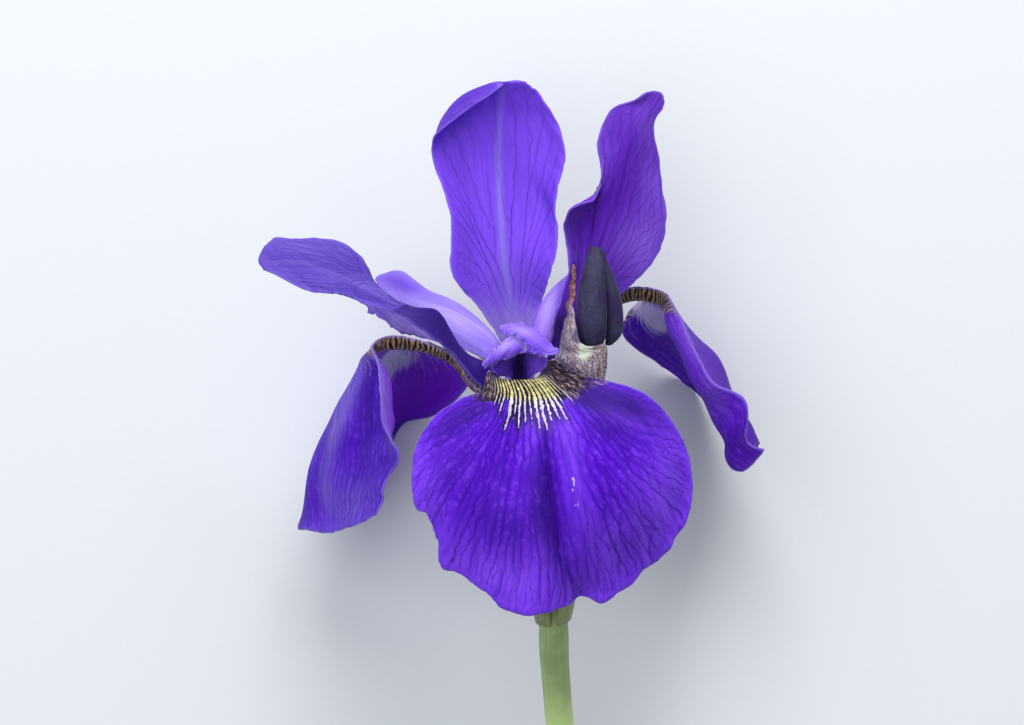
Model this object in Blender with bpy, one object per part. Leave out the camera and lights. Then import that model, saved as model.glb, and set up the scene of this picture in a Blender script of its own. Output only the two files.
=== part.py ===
import math
import bpy
import numpy as np

# ---------------------------------------------------------------- layout
# The flower is laid out on a front elevation drawn in sixths of a millimetre
# (x to the right, y downwards) with d, in millimetres, standing out of the
# drawing towards the observer. The elevation is seen from an eye point that
# stands EYE millimetres in front of the heart of the flower.
EYE = 600.0
UNIT = 1.0 / 6.0
CX, CY = 512.0, 362.5

# pose on the floor: the elevation turned a little about X and Y, then shifted
TILT_X = 5.1253
TILT_Y = 1.1625
SHIFT = (-0.529, 30.882, 45.870)

PETAL = 0.55      # thickness of a tepal
AXIS_LEAN = math.radians(20.0)


def world(p):
    """layout (x, y, d) -> millimetres in the unposed frame"""
    p = np.asarray(p, float)
    k = (EYE - p[..., 2]) / EYE * UNIT
    return np.stack([(p[..., 0] - CX) * k, -(p[..., 1] - CY) * k,
                     p[..., 2]], -1)


def layout(p):
    p = np.asarray(p, float)
    k = EYE / (EYE - p[..., 2]) / UNIT
    return np.stack([CX + p[..., 0] * k, CY - p[..., 1] * k, p[..., 2]], -1)


def posed(p):
    """unposed millimetres -> row frame metres"""
    ax, ay = math.radians(TILT_X), math.radians(TILT_Y)
    x, y, z = p[..., 0], p[..., 1], p[..., 2]
    y, z = y * math.cos(ax) - z * math.sin(ax), \
        y * math.sin(ax) + z * math.cos(ax)
    x, z = x * math.cos(ay) + z * math.sin(ay), \
        -x * math.sin(ay) + z * math.cos(ay)
    out = np.stack([x + SHIFT[0], y + SHIFT[1], z + SHIFT[2]], -1)
    return out * 0.001


# flower axis: up the flower and towards the observer
TUBE_TOP = (527.0, 425.0, 0.0)
UPV = np.array([-0.127, 0.930, 0.342])
UPV /= np.linalg.norm(UPV)
SIDE = np.array([1.0, 0.0, 0.0]) - UPV * UPV[0]
SIDE /= np.linalg.norm(SIDE)
FRONT = np.cross(SIDE, UPV)


def Q(r, phi, h):
    """layout point r mm off the axis, phi degrees to the right of the front
    and h mm above the top of the tube"""
    a = math.radians(phi)
    w = world(TUBE_TOP) + r * (math.cos(a) * FRONT + math.sin(a) * SIDE) \
        + h * UPV
    return tuple(layout(w))


# ---------------------------------------------------------------- splines
def spline(t, p, q):
    """natural cubic through (t, p) evaluated at q"""
    t = np.asarray(t, float)
    p = np.asarray(p, float)
    q = np.asarray(q, float)
    shp = p.shape[1:]
    p = p.reshape(len(t), -1)
    n = len(t)
    if n == 2:
        w = ((q - t[0]) / (t[1] - t[0]))[:, None]
        return ((1 - w) * p[0] + w * p[1]).reshape((len(q),) + shp)
    h = np.diff(t)
    A = np.zeros((n, n))
    B = np.zeros_like(p)
    A[0, 0] = A[-1, -1] = 1.0
    for i in range(1, n - 1):
        A[i, i - 1] = h[i - 1]
        A[i, i] = 2 * (h[i - 1] + h[i])
        A[i, i + 1] = h[i]
        B[i] = 6 * ((p[i + 1] - p[i]) / h[i] - (p[i] - p[i - 1]) / h[i - 1])
    m = np.linalg.solve(A, B)
    k = np.clip(np.searchsorted(t, q, 'right') - 1, 0, n - 2)
    a = ((t[k + 1] - q) / h[k])[:, None]
    b = 1 - a
    hh = (h[k] ** 2)[:, None] / 6
    out = a * p[k] + b * p[k + 1] + ((a ** 3 - a) * m[k]
                                     + (b ** 3 - b) * m[k + 1]) * hh
    return out.reshape((len(q),) + shp)


def net(rows, U, V):
    """rows: [(u, [(v, x, y, d), ...]), ...] -> layout grid len(U) x len(V)"""
    us = [r[0] for r in rows]
    lines = []
    for _, pts in rows:
        a = np.array(pts, float)
        lines.append(spline(a[:, 0], a[:, 1:], V))
    return spline(us, np.array(lines), U)


def arc(r, phi, h, half, n=5, u=0.0, flip=1.0):
    """base row of a tepal, part of a ring round the axis"""
    out = []
    for v in np.linspace(-1, 1, n):
        out.append((v,) + Q(r, phi + flip * half * v, h))
    return (u, out)


def channel(u, r, phi, h, half, cup, flip=1.0):
    """cross row of a claw: half width and depth of the channel in mm, the
    hollow side facing the axis and upwards"""
    a = math.radians(phi)
    rad = math.cos(a) * FRONT + math.sin(a) * SIDE
    tan = -math.sin(a) * FRONT + math.cos(a) * SIDE
    base = world(TUBE_TOP) + r * rad + h * UPV
    nrm = -0.8 * rad + 0.6 * UPV
    out = []
    for v in np.linspace(-1, 1, 5):
        w = base + flip * tan * half * v + nrm * cup * v * v
        out.append((v,) + tuple(layout(w)))
    return (u, out)


def shape_row(u, *pts):
    """row given by points (x, y, d) spread evenly, or (v, x, y, d)"""
    if len(pts[0]) == 4:
        return (u, list(pts))
    vs = np.linspace(-1, 1, len(pts))
    return (u, [(v,) + tuple(p) for v, p in zip(vs, pts)])


def normals(P):
    du = np.gradient(P, axis=0)
    dv = np.gradient(P, axis=1)
    n = np.cross(du, dv)
    n /= np.maximum(np.linalg.norm(n, axis=-1, keepdims=True), 1e-9)
    return n

# ---------------------------------------------------------------- tepals
def fan_depth(x, y, pts):
    """smooth height over the elevation through the given (x, y, d) points"""
    a = np.array(pts, float)
    def ker(r2):
        return np.where(r2 > 1e-12, r2 * np.log(np.maximum(r2, 1e-12)), 0.0)
    s = 100.0
    ax, ay = a[:, 0] / s, a[:, 1] / s
    n = len(a)
    K = ker((ax[:, None] - ax) ** 2 + (ay[:, None] - ay) ** 2)
    K += np.eye(n) * 0.02
    Pm = np.stack([np.ones(n), ax, ay], 1)
    M = np.block([[K, Pm], [Pm.T, np.zeros((3, 3))]])
    w = np.linalg.solve(M, np.concatenate([a[:, 2], np.zeros(3)]))
    x = np.asarray(x, float) / s
    y = np.asarray(y, float) / s
    k = ker((x[..., None] - ax) ** 2 + (y[..., None] - ay) ** 2)
    return k @ w[:n] + w[n] + w[n + 1] * x + w[n + 2] * y


FALL_DEPTH = [
    (482, 392, 14.5), (467, 395, 14.5), (438, 413, 14.5), (420, 436, 15.0),
    (411, 475, 15.5), (421, 512, 17.0), (445, 556, 18.0), (472, 581, 19.5),
    (498, 604, 21.5), (528, 616, 23.5), (560, 609, 22.5), (590, 600, 21.0),
    (625, 588, 18.0), (655, 560, 15.5), (682, 530, 14.0), (692, 490, 13.0),
    (688, 450, 13.5), (668, 414, 14.0), (640, 391, 14.5), (606, 380, 15.0),
    (460, 440, 19.0), (450, 490, 20.5), (470, 540, 22.5), (500, 470, 25.0),
    (505, 530, 25.5), (500, 425, 23.0), (540, 405, 23.5), (543, 430, 26.5),
    (545, 470, 27.6), (552, 510, 27.4), (562, 560, 25.0), (580, 430, 25.5),
    (590, 480, 27.3), (610, 430, 22.5), (625, 520, 23.5), (640, 460, 20.5),
    (600, 550, 24.0), (585, 395, 19.5), (655, 500, 18.0), (530, 580, 25.0),
    (583, 592, 21.3)]

# margin of the front fall, (x, y) or (x, y, v)
FALL_MARGIN = [
    (413, 456, -1.0), (412, 471), (411, 486), (414, 503, -.76), (418, 511),
    (423, 512), (429, 519), (435, 530), (441, 546, -.56), (446, 555),
    (442, 561), (443, 567), (455, 571, -.42), (467, 577), (480, 587),
    (492, 597, -.26), (501, 607), (515, 613), (526, 616, -.08), (540, 614),
    (551, 612), (563, 608, .12), (574, 603), (584, 598), (591, 599, .26),
    (599, 603), (608, 598), (622, 590, .40), (633, 583), (639, 574),
    (651, 566, .54), (664, 555), (672, 546), (675, 538), (682, 530, .70),
    (687, 517), (691, 502), (692, 486, .86), (690, 467), (687, 450, 1.0)]


def margin_row(u, pts, depth):
    """dense margin; v between the marked points follows the arc length"""
    xy = np.array([p[:2] for p in pts], float)
    s = np.concatenate([[0], np.cumsum(np.hypot(*np.diff(xy, axis=0).T))])
    ks = [i for i, p in enumerate(pts) if len(p) == 3]
    v = np.interp(s, s[ks], [pts[i][2] for i in ks])
    return (u, [(vv, x, y, float(fan_depth(x, y, depth)))
                for vv, (x, y) in zip(v, xy)])


def fan_row(u, depth, *pts):
    vs = np.linspace(-1, 1, len(pts))
    return (u, [(v, x, y, float(fan_depth(x, y, depth)))
                for v, (x, y) in zip(vs, pts)])


def rows_fall_front():
    D = FALL_DEPTH
    return [
        arc(3.1, 0, 0.35, 30),
        channel(0.12, 4.6, 0, 5.2, 1.9, 0.5),
        channel(0.20, 7.4, 0, 8.8, 3.7, 2.2),
        (0.28, [(-1, 489, 370, 9.6), (-.8, 490, 376, 10.8),
                (-.5, 500, 380, 12.6), (0, 522, 381, 13.6),
                (.4, 539, 378, 12.6), (.7, 549, 370, 10.6),
                (1, 553, 359, 8.6)]),
        (0.35, [(-1, 486, 381, 12.4), (-.75, 491, 386, 14.6),
                (-.4, 508, 389, 17.6), (0, 529, 390, 19.0),
                (.4, 549, 386, 17.0), (.7, 561, 379, 13.8),
                (1, 567, 368, 10.6)]),
        (0.42, [(-1, 482, 391, 14.2), (-.7, 491, 396, 17.2),
                (-.35, 512, 399, 20.8), (0, 534, 400, 22.4),
                (.4, 559, 396, 20.4), (.7, 574, 387, 17.0),
                (1, 583, 376, 13.2)]),
        fan_row(0.50, D, (468, 396), (478, 406), (494, 413), (514, 417),
                (538, 418), (562, 415), (584, 407), (600, 395), (606, 381)),
        fan_row(0.62, D, (446, 407), (455, 425), (475, 439), (504, 447),
                (541, 450), (576, 446), (606, 432), (627, 411), (635, 389)),
        fan_row(0.78, D, (427, 425), (434, 458), (452, 495), (490, 518),
                (545, 524), (592, 520), (632, 486), (656, 450), (661, 407)),
        fan_row(0.91, D, (417, 443), (424, 482), (440, 524), (482, 563),
                (546, 580), (600, 573), (655, 522), (679, 470), (680, 434)),
        margin_row(1.0, FALL_MARGIN, D)]


def rows_fall_left():
    # v = -1 far margin, 0 midrib, 1 near margin
    return [
        arc(3.1, -120, 0.35, 30, flip=1.0),
        channel(0.08, 4.6, -120, 4.0, 1.8, 0.4),
        shape_row(0.15, (484, 380, -10.0), (482, 390, -8.4), (478, 393, -5.6),
                  (475, 389, -4.2), (472, 384, -3.6)),
        shape_row(0.25, (460, 359, -14.2), (458, 366, -12.0),
                  (456, 367.5, -9.6), (455, 365, -7.2), (456, 358.5, -6.2)),
        shape_row(0.34, (436, 345, -18.6), (433, 351, -16.0),
                  (430, 352.5, -12.8), (429, 350, -10.0), (430, 343.5, -8.8)),
        shape_row(0.42, (408, 338, -23.6), (404, 345, -20.4),
                  (400, 348.5, -16.6), (399, 346, -13.2), (399, 335.5, -12.0)),
        shape_row(0.49, (402, 339, -29.5), (394, 346, -24.5),
                  (381, 350, -19.6), (378, 347.5, -16.6), (381, 338, -15.2)),
        (0.55, [(-1, 432, 350, -35.5), (-.5, 398, 349, -29.0),
                (0, 366, 357, -21.8), (.45, 368, 353, -18.0),
                (.75, 372, 350, -15.6), (1, 372, 346, -14.8)]),
        (0.62, [(-1, 461, 371, -38.5), (-.5, 406, 366, -36.0),
                (0, 359, 369, -23.6), (.4, 370, 367, -17.6),
                (.78, 386, 371, -13.4), (1, 377.5, 364, -10.8)]),
        (0.68, [(-1, 466, 389, -40.0), (-.5, 408, 386, -40.0),
                (0, 348, 387, -25.0), (.4, 367, 391, -17.0),
                (.80, 390, 392, -11.2), (1, 379, 385, -9.0)]),
        (0.74, [(-1, 433, 416, -43.4), (-.5, 392, 404, -42.0),
                (0, 338, 405, -26.2), (.4, 361, 415, -17.2),
                (.82, 391.5, 413, -9.8), (1, 380.5, 408, -8.0)]),
        (0.80, [(-1, 404, 424, -45.0), (-.5, 376, 424, -42.6),
                (0, 327, 427, -27.0), (.4, 355, 440, -17.6),
                (.84, 393, 429, -9.0), (1, 386, 431, -7.6)]),
        (0.84, [(-1, 393, 440, -45.0), (-.5, 365, 440, -41.6),
                (0, 320, 442, -27.4), (.4, 352, 455, -17.8),
                (.84, 389, 449, -9.0), (1, 398, 447, -7.2)]),
        (0.885, [(-1, 376, 462, -44.0), (-.5, 352, 460, -39.6),
                 (0, 311, 466, -27.8), (.4, 347, 475, -18.0),
                 (.84, 388, 466, -9.4), (1, 398, 464.5, -8.0)]),
        (0.93, [(-1, 358, 486, -41.0), (-.5, 336, 484, -36.6),
                (0, 306, 490, -27.8), (.4, 341, 498, -18.4),
                (.8, 375, 489, -10.6), (1, 385, 487, -8.6)]),
        (0.97, [(-1, 340, 506, -37.0), (-.5, 322, 508, -33.0),
                (0, 303, 513, -27.6), (.4, 334, 516, -18.8),
                (.8, 372, 504, -11.0), (1, 384, 501, -9.0)]),
        (1.0, [(-1, 322, 520, -33.4), (-.5, 311, 524, -30.4),
               (0, 298.5, 529.5, -27.0), (.15, 306, 530, -24.2),
               (.4, 324, 533, -19.2), (.65, 345, 529, -14.6),
               (.85, 364, 522, -11.4), (1, 377, 514.5, -9.6)])]


def rows_fall_right():
    # v = -1 far margin, 0 midrib, 1 near margin
    return [
        arc(3.1, 120, 0.35, 30, flip=-1.0),
        channel(0.08, 4.6, 120, 4.2, 1.8, 0.4, flip=-1.0),
        shape_row(0.16, (566, 362, -7.2), (562, 370, -5.6), (559, 373, -3.8),
                  (556, 370, -2.2), (555, 363, -1.6)),
        shape_row(0.25, (597, 318, -13.4), (592, 326, -11.2),
                  (590, 329, -9.0), (587, 326, -6.8), (586, 318, -6.0)),
        shape_row(0.34, (627, 292, -19.6), (624, 300, -17.2),
                  (621, 303.5, -14.2), (618, 301, -11.4), (618, 291, -10.2)),
        shape_row(0.42, (650, 288, -25.0), (648, 296, -21.6),
                  (645, 300, -17.8), (643, 298, -14.6), (645, 287, -13.2)),
        shape_row(0.49, (650, 291, -32.0), (655, 298, -25.6),
                  (662, 304.5, -20.2), (662, 302, -17.0), (663, 291.5, -15.6)),
        (0.55, [(-1, 637, 303, -37.4), (-.5, 654, 303, -31.0),
                (0, 675, 311, -22.2), (.45, 668, 309, -18.0),
                (.70, 665.5, 305, -15.8), (1, 670.5, 299, -14.4)]),
        (0.61, [(-1, 622, 332, -39.0), (-.5, 652, 322, -35.6),
                (0, 684, 323, -24.2), (.35, 678, 328, -18.4),
                (.68, 667, 326, -13.2), (1, 682, 320, -10.6)]),
        (0.67, [(-1, 649, 357, -42.6), (-.5, 671, 343, -37.6),
                (0, 700, 340, -25.4), (.35, 692, 349, -18.4),
                (.68, 680, 352, -10.6), (1, 694, 347, -7.2)]),
        (0.73, [(-1, 678, 377, -45.0), (-.5, 694, 364, -38.6),
                (0, 716, 356, -26.0), (.35, 706, 369, -18.2),
                (.68, 690, 376, -9.2), (1, 704.5, 368, -4.8)]),
        (0.79, [(-1, 700, 396, -44.2), (-.5, 712, 386, -37.0),
                (0, 725, 377, -25.6), (.35, 716, 391, -17.4),
                (.66, 703, 398, -8.2), (1, 717, 385.5, -3.4)]),
        (0.85, [(-1, 720, 416, -40.0), (-.5, 727, 407, -34.0),
                (0, 733, 399, -24.6), (.35, 726, 412, -16.8),
                (.64, 714, 423, -8.2), (1, 742, 396, -3.4)]),
        (0.91, [(-1, 736, 434, -35.0), (-.5, 741, 427, -30.0),
                (0, 746, 420, -22.8), (.35, 738, 433, -15.8),
                (.62, 725, 443, -8.6), (1, 748, 421, -4.0)]),
        (0.96, [(-1, 748, 448, -30.0), (-.5, 750, 441, -26.0),
                (0, 752, 434, -20.4), (.3, 741, 449, -14.6),
                (.60, 726.5, 456, -9.4), (.85, 740, 446, -6.2),
                (1, 748, 442, -5.2)]),
        (1.0, [(-1, 757, 455, -26.0), (-.5, 757, 450, -22.6),
               (0, 756, 446, -18.2), (.25, 743, 461, -13.8),
               (.52, 730, 465, -10.2), (.68, 740, 471, -8.8),
               (.84, 752, 465, -7.4), (1, 765, 450, -6.4)])]


def rows_standard_back():
    return [
        arc(2.9, 180, 0.35, 24, flip=-1.0),
        channel(0.08, 3.0, 180, 4.8, 1.5, 0.5, flip=-1.0),
        shape_row(0.20, (507, 354, -4.4), (511, 355, -5.4), (515, 356, -5.8),
                  (520, 354, -5.4), (525, 351, -4.4)),
        shape_row(0.27, (496, 333, -7.4), (504, 333, -8.4), (513, 333, -8.8),
                  (523, 331, -8.4), (530.5, 329, -8.0)),
        shape_row(0.36, (474, 302, -9.4), (491, 303, -10.8),
                  (510, 304, -11.4), (527, 303, -11.0), (541, 303, -10.4)),
        shape_row(0.45, (453, 276, -7.6), (478, 275, -11.4),
                  (506, 275, -12.4), (530, 274, -11.0), (550, 274, -8.4)),
        shape_row(0.54, (451, 243, -9.0), (477, 241, -12.6),
                  (503, 240, -13.6), (531, 239, -12.2), (558, 238, -8.8)),
        shape_row(0.62, (450, 213, -10.0), (474, 209, -13.2),
                  (500.5, 207, -14.0), (529, 207, -13.4), (547, 209, -12.6),
                  (555, 208, -9.6)),
        shape_row(0.70, (440, 181, -10.6), (469, 176, -13.2),
                  (499, 173, -13.6), (531, 174, -12.6), (561, 176, -9.6)),
        shape_row(0.77, (431.5, 152, -10.0), (464, 146, -12.4),
                  (498.5, 142, -12.6), (532, 144, -11.8), (565, 150, -9.0)),
        (0.835, [(-1, 438, 132, -7.2), (-.93, 437, 133, -8.6),
                 (-.5, 467, 121, -11.2), (0, 501, 116, -11.2),
                 (.5, 530, 117, -10.6), (1, 556, 120, -8.4)]),
        (0.89, [(-1, 452, 122, -6.4), (-.86, 444, 118, -8.0),
                (-.5, 470, 108, -9.8), (0, 502, 102, -9.8),
                (.5, 528, 103, -9.4), (1, 547, 106, -7.8)]),
        (0.94, [(-1, 473, 106, -5.6), (-.78, 460, 99, -7.4),
                (-.45, 478, 96, -8.4), (0, 503.5, 92, -8.4),
                (.5, 525, 91.5, -8.2), (1, 538, 92, -7.4)]),
        (0.975, [(-1, 487, 97.5, -5.4), (-.66, 475, 90, -6.8),
                 (-.4, 486, 88, -7.4), (0, 505, 86, -7.4),
                 (.5, 520, 85.5, -7.3), (1, 530, 86, -7.0)]),
        (1.0, [(-1, 504, 84, -5.6), (-.5, 496, 82, -6.2),
               (0, 508, 81.3, -6.5), (.5, 516, 80.6, -6.6),
               (1, 525, 81.4, -6.6)])]


def rows_standard_right():
    return [
        arc(3.0, 60, 0.35, 20, flip=1.0),
        channel(0.10, 3.1, 60, 5.6, 1.2, 0.3),
        shape_row(0.20, (547, 356, 4.8), (550, 357, 4.3), (554, 357, 4.1),
                  (559, 357, 3.9), (563, 357, 3.5)),
        shape_row(0.27, (552, 329, 3.0), (559, 331, 1.6), (567, 332, 0.9),
                  (575, 334, 0.4), (582, 336, 0.0)),
        shape_row(0.34, (558.5, 305, 1.2), (569, 307, -1.0), (581, 308, -2.0),
                  (592, 310, -2.8), (603, 313, -3.4)),
        shape_row(0.41, (565, 283, -.4), (579, 280, -3.0), (596, 279, -3.8),
                  (611, 283, -5.0), (627, 289, -6.4)),
        shape_row(0.48, (569, 263, -.6), (584, 255, -3.6), (602, 252, -4.2),
                  (625, 257, -5.6), (649, 267, -7.6)),
        shape_row(0.55, (565, 238, -.8), (584, 229, -3.4), (608, 226, -4.0),
                  (636, 230, -5.8), (663, 241, -8.4)),
        (0.61, [(-1, 570, 210, 1.6), (-.86, 576, 208, -.6),
                (-.5, 594, 207, -3.0), (0, 615, 203, -3.8),
                (.5, 640, 206, -6.0), (1, 666, 214, -8.8)]),
        (0.66, [(-1, 592, 200.5, 1.0), (-.86, 595, 195, -1.2),
                (-.5, 605, 190, -2.6), (0, 620, 184, -3.8),
                (.5, 641, 187, -6.2), (1, 663, 192, -9.0)]),
        shape_row(0.72, (601, 173, -2.0), (611, 166, -2.8), (625, 161, -4.2),
                  (642, 164, -6.6), (660, 170, -9.2)),
        shape_row(0.79, (597, 147, -3.0), (612, 143, -4.0), (632, 141, -5.2),
                  (645, 143, -7.2), (657, 146, -9.2)),
        shape_row(0.86, (602, 126, -4.2), (621, 123, -5.4), (639, 124, -6.6),
                  (647, 124, -8.0), (654, 123, -9.4)),
        shape_row(0.92, (613, 108, -5.6), (631, 109, -7.0), (646, 111, -8.0),
                  (654, 111, -9.2), (660.5, 111, -10.2)),
        shape_row(0.97, (631, 101.5, -6.8), (642, 100, -8.0), (650, 101, -8.8),
                  (658, 102, -9.8), (664, 103, -10.6)),
        shape_row(1.0, (647, 92.5, -7.8), (651, 91.5, -8.4), (655, 91, -9.2),
                  (659, 91.8, -10.0), (662.5, 94, -10.6))]


def rows_standard_left():
    # v = -1 far (upper) margin, 0 midrib, 1 near (lower) margin
    return [
        arc(3.0, -60, 0.35, 20, flip=1.0),
        channel(0.06, 3.2, -57, 5.0, 1.1, 0.3),
        shape_row(0.13, (497, 378, 3.6), (493, 372, 4.6), (489, 370, 5.6),
                  (485, 378, 6.4), (482, 387, 7.2)),
        shape_row(0.22, (478, 365, 3.2), (474, 360, 4.4), (469, 356.5, 5.6),
                  (464, 359, 7.0), (461, 364, 8.2)),
        shape_row(0.31, (460, 350, 3.6), (456, 343, 4.8), (452, 336, 6.2),
                  (446, 338, 8.2), (439, 343, 9.8)),
        shape_row(0.39, (445, 330, 4.0), (442, 321, 5.4), (438, 313, 7.0),
                  (430, 319, 9.0), (421, 329, 10.6)),
        shape_row(0.46, (429, 318, 4.8), (427, 311.5, 6.4), (423, 309, 8.2),
                  (414, 313, 10.0), (406, 318.5, 11.4)),
        shape_row(0.52, (410, 309, 6.0), (408, 306, 7.8), (404, 307.5, 9.6),
                  (399, 310, 11.0), (393, 311.5, 12.0)),
        shape_row(0.58, (394, 299.5, 7.2), (392, 299, 9.0), (388, 300, 10.8),
                  (383, 304, 12.0), (378, 308.5, 12.8)),
        shape_row(0.65, (378, 287, 8.0), (377, 290, 9.8), (371, 292, 11.4),
                  (363, 297, 12.6), (357, 301, 13.4)),
        shape_row(0.72, (370, 272, 8.6), (362, 279, 10.4), (352, 285.5, 11.8),
                  (345, 291, 13.0), (341, 294.5, 13.6)),
        shape_row(0.79, (354, 250, 8.8), (344, 264, 10.6), (331, 278, 11.8),
                  (325, 286, 12.8), (320, 293, 13.2)),
        shape_row(0.86, (329, 239, 8.6), (321, 255, 10.2), (308, 271, 11.2),
                  (303, 280, 12.0), (300, 288, 12.4)),
        shape_row(0.93, (303, 238.5, 8.4), (296, 252, 9.8), (285, 266, 10.4),
                  (281, 273, 11.0), (279, 277, 11.4)),
        shape_row(1.0, (274, 237.5, 8.0), (262, 250, 8.8), (258.5, 261.5, 9.2),
                  (261, 266, 9.6), (264, 270, 9.8))]


# ---------------------------------------------------------------- styles
def rows_style_front():
    def om(u, y0, top, half, d0, d1, foot, cx=520.0):
        return (u, [(-1, cx - half * .92, foot, d1 - .3),
                    (-.7, cx - half, (foot * .5 + top * .5) + 2, d1),
                    (-.4, cx - half * .72, top + (foot - top) * .16, d0),
                    (0, cx, top, d0),
                    (.4, cx + half * .72, top + (foot - top) * .16, d0),
                    (.7, cx + half, (foot * .5 + top * .5) + 2, d1),
                    (1, cx + half * .92, foot, d1 - .3)])
    return [
        channel(0.0, 1.9, 0, 7.4, 1.1, 0.5, flip=1.0),
        om(0.28, 0, 362, 8.5, 7.3, 7.3, 378, 520),
        om(0.50, 0, 357, 7.6, 9.8, 9.9, 377.5, 520),
        (0.68, [(-1, 505, 376.5, 11.6), (-.7, 506.5, 367, 11.7),
                (-.4, 509, 357, 11.8), (0, 520, 354, 11.9),
                (.4, 531, 356.5, 11.8), (.7, 533.5, 366, 11.7),
                (1, 533.5, 374.5, 11.5)]),
        (0.84, [(-1, 498, 376, 13.0), (-.7, 497.5, 366, 13.2),
                (-.4, 504, 355.5, 13.4), (0, 520, 352, 13.4),
                (.4, 536, 355, 13.4), (.7, 542, 363, 13.2),
                (1, 540.5, 371.5, 12.9)]),
        (1.0, [(-1, 494.5, 372.5, 14.2), (-.7, 492.5, 364.5, 14.4),
               (-.4, 502, 355.5, 14.5), (0, 521, 352, 14.5),
               (.4, 538, 355, 14.5), (.7, 546.5, 360, 14.4),
               (1, 545.5, 368, 14.2)])]


def rows_crest_left():
    # leaf-like lobe lying to the left over the lip
    return [
        shape_row(0.0, (525, 351, 15.6), (522, 347, 16.2), (517, 342, 16.2),
                  (510, 337.5, 15.6)),
        shape_row(0.35, (513, 356.5, 16.4), (510, 351, 17.2),
                  (506, 346, 17.1), (502, 342.5, 16.2)),
        shape_row(0.7, (499, 361.5, 16.4), (497, 358, 17.1),
                  (494.5, 354.5, 17.0), (493, 353.5, 16.2)),
        shape_row(1.0, (486.5, 367.5, 15.9), (485, 366.8, 16.2),
                  (484, 365.9, 16.2), (484.3, 364.6, 15.9))]


def rows_crest_right():
    # broad lobe standing up behind the left one and reaching to the right
    return [
        shape_row(0.0, (500.5, 328.5, 13.2), (501.2, 331, 13.7),
                  (502.5, 333.5, 14.0)),
        shape_row(0.15, (507, 324.4, 12.7), (507.5, 329.5, 14.2),
                  (508, 334.8, 14.6)),
        shape_row(0.38, (521, 324.2, 12.3), (521.5, 331.5, 14.7),
                  (521, 340, 15.1)),
        shape_row(0.58, (532.5, 328, 12.4), (533, 338, 15.1),
                  (531, 352.5, 15.4)),
        shape_row(0.78, (543, 336, 12.9), (543.5, 344, 15.3),
                  (542, 355.5, 15.5)),
        shape_row(0.90, (549.5, 344, 13.8), (550, 348.5, 15.3),
                  (550, 356, 15.4)),
        shape_row(1.0, (556, 348, 14.4), (558.5, 351.2, 15.0),
                  (556, 355, 15.2))]


def rows_style_left():
    return [
        channel(0.0, 1.9, -120, 7.4, 1.1, 0.5, flip=1.0),
        shape_row(0.14, (506, 360, -2.0), (503, 351, -.9), (499, 346, 0.4),
                  (494, 354, 1.6), (491, 364, 1.8)),
        shape_row(0.28, (485, 336, -7.6), (482, 326, -5.8),
                  (477, 321, -3.6), (468, 334, -1.2), (462, 349, -1.0)),
        shape_row(0.42, (459, 319, -13.0), (457, 307, -10.6),
                  (452, 303, -7.8), (444, 322, -5.2), (439, 343, -6.0)),
        shape_row(0.57, (433, 308, -17.2), (432, 296, -14.4),
                  (428, 293.5, -11.6), (421, 314, -9.8), (416, 337, -12.2)),
        shape_row(0.72, (413, 297, -20.2), (413, 284, -17.2),
                  (409, 280, -14.6), (401, 304, -12.6), (395, 329, -15.0)),
        shape_row(0.86, (398, 290, -21.4), (399, 278, -18.6),
                  (396, 272.5, -15.8), (386, 296, -13.6), (378, 318.5, -14.8)),
        shape_row(1.0, (384, 294, -21.4), (383, 284, -19.2),
                  (378, 277, -16.8), (371, 294, -14.8), (366, 309, -15.6))]


def rows_style_right():
    return [
        channel(0.0, 1.9, 120, 7.4, 1.1, 0.5, flip=-1.0),
        shape_row(0.16, (527, 357, -2.2), (528, 348, -1.3), (531, 341, -.2),
                  (537, 346, 1.2), (543, 354, 1.4)),
        shape_row(0.32, (539, 327, -6.8), (538.5, 317, -5.8), (541, 307, -4.2),
                  (549, 316, -2.6), (557, 329, -2.4)),
        shape_row(0.5, (557, 304, -12.6), (554, 294.5, -10.6),
                  (556, 286.5, -8.8), (566, 295, -7.4), (575, 308, -7.2)),
        shape_row(0.75, (578, 287, -18.8), (577, 276, -16.0),
                  (580, 270, -13.6), (590, 282, -11.4), (596, 297, -11.8)),
        shape_row(1.0, (606, 277, -21.6), (604, 268, -19.0),
                  (606, 264, -16.6), (613, 273, -14.4), (617, 285, -14.8))]


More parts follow.
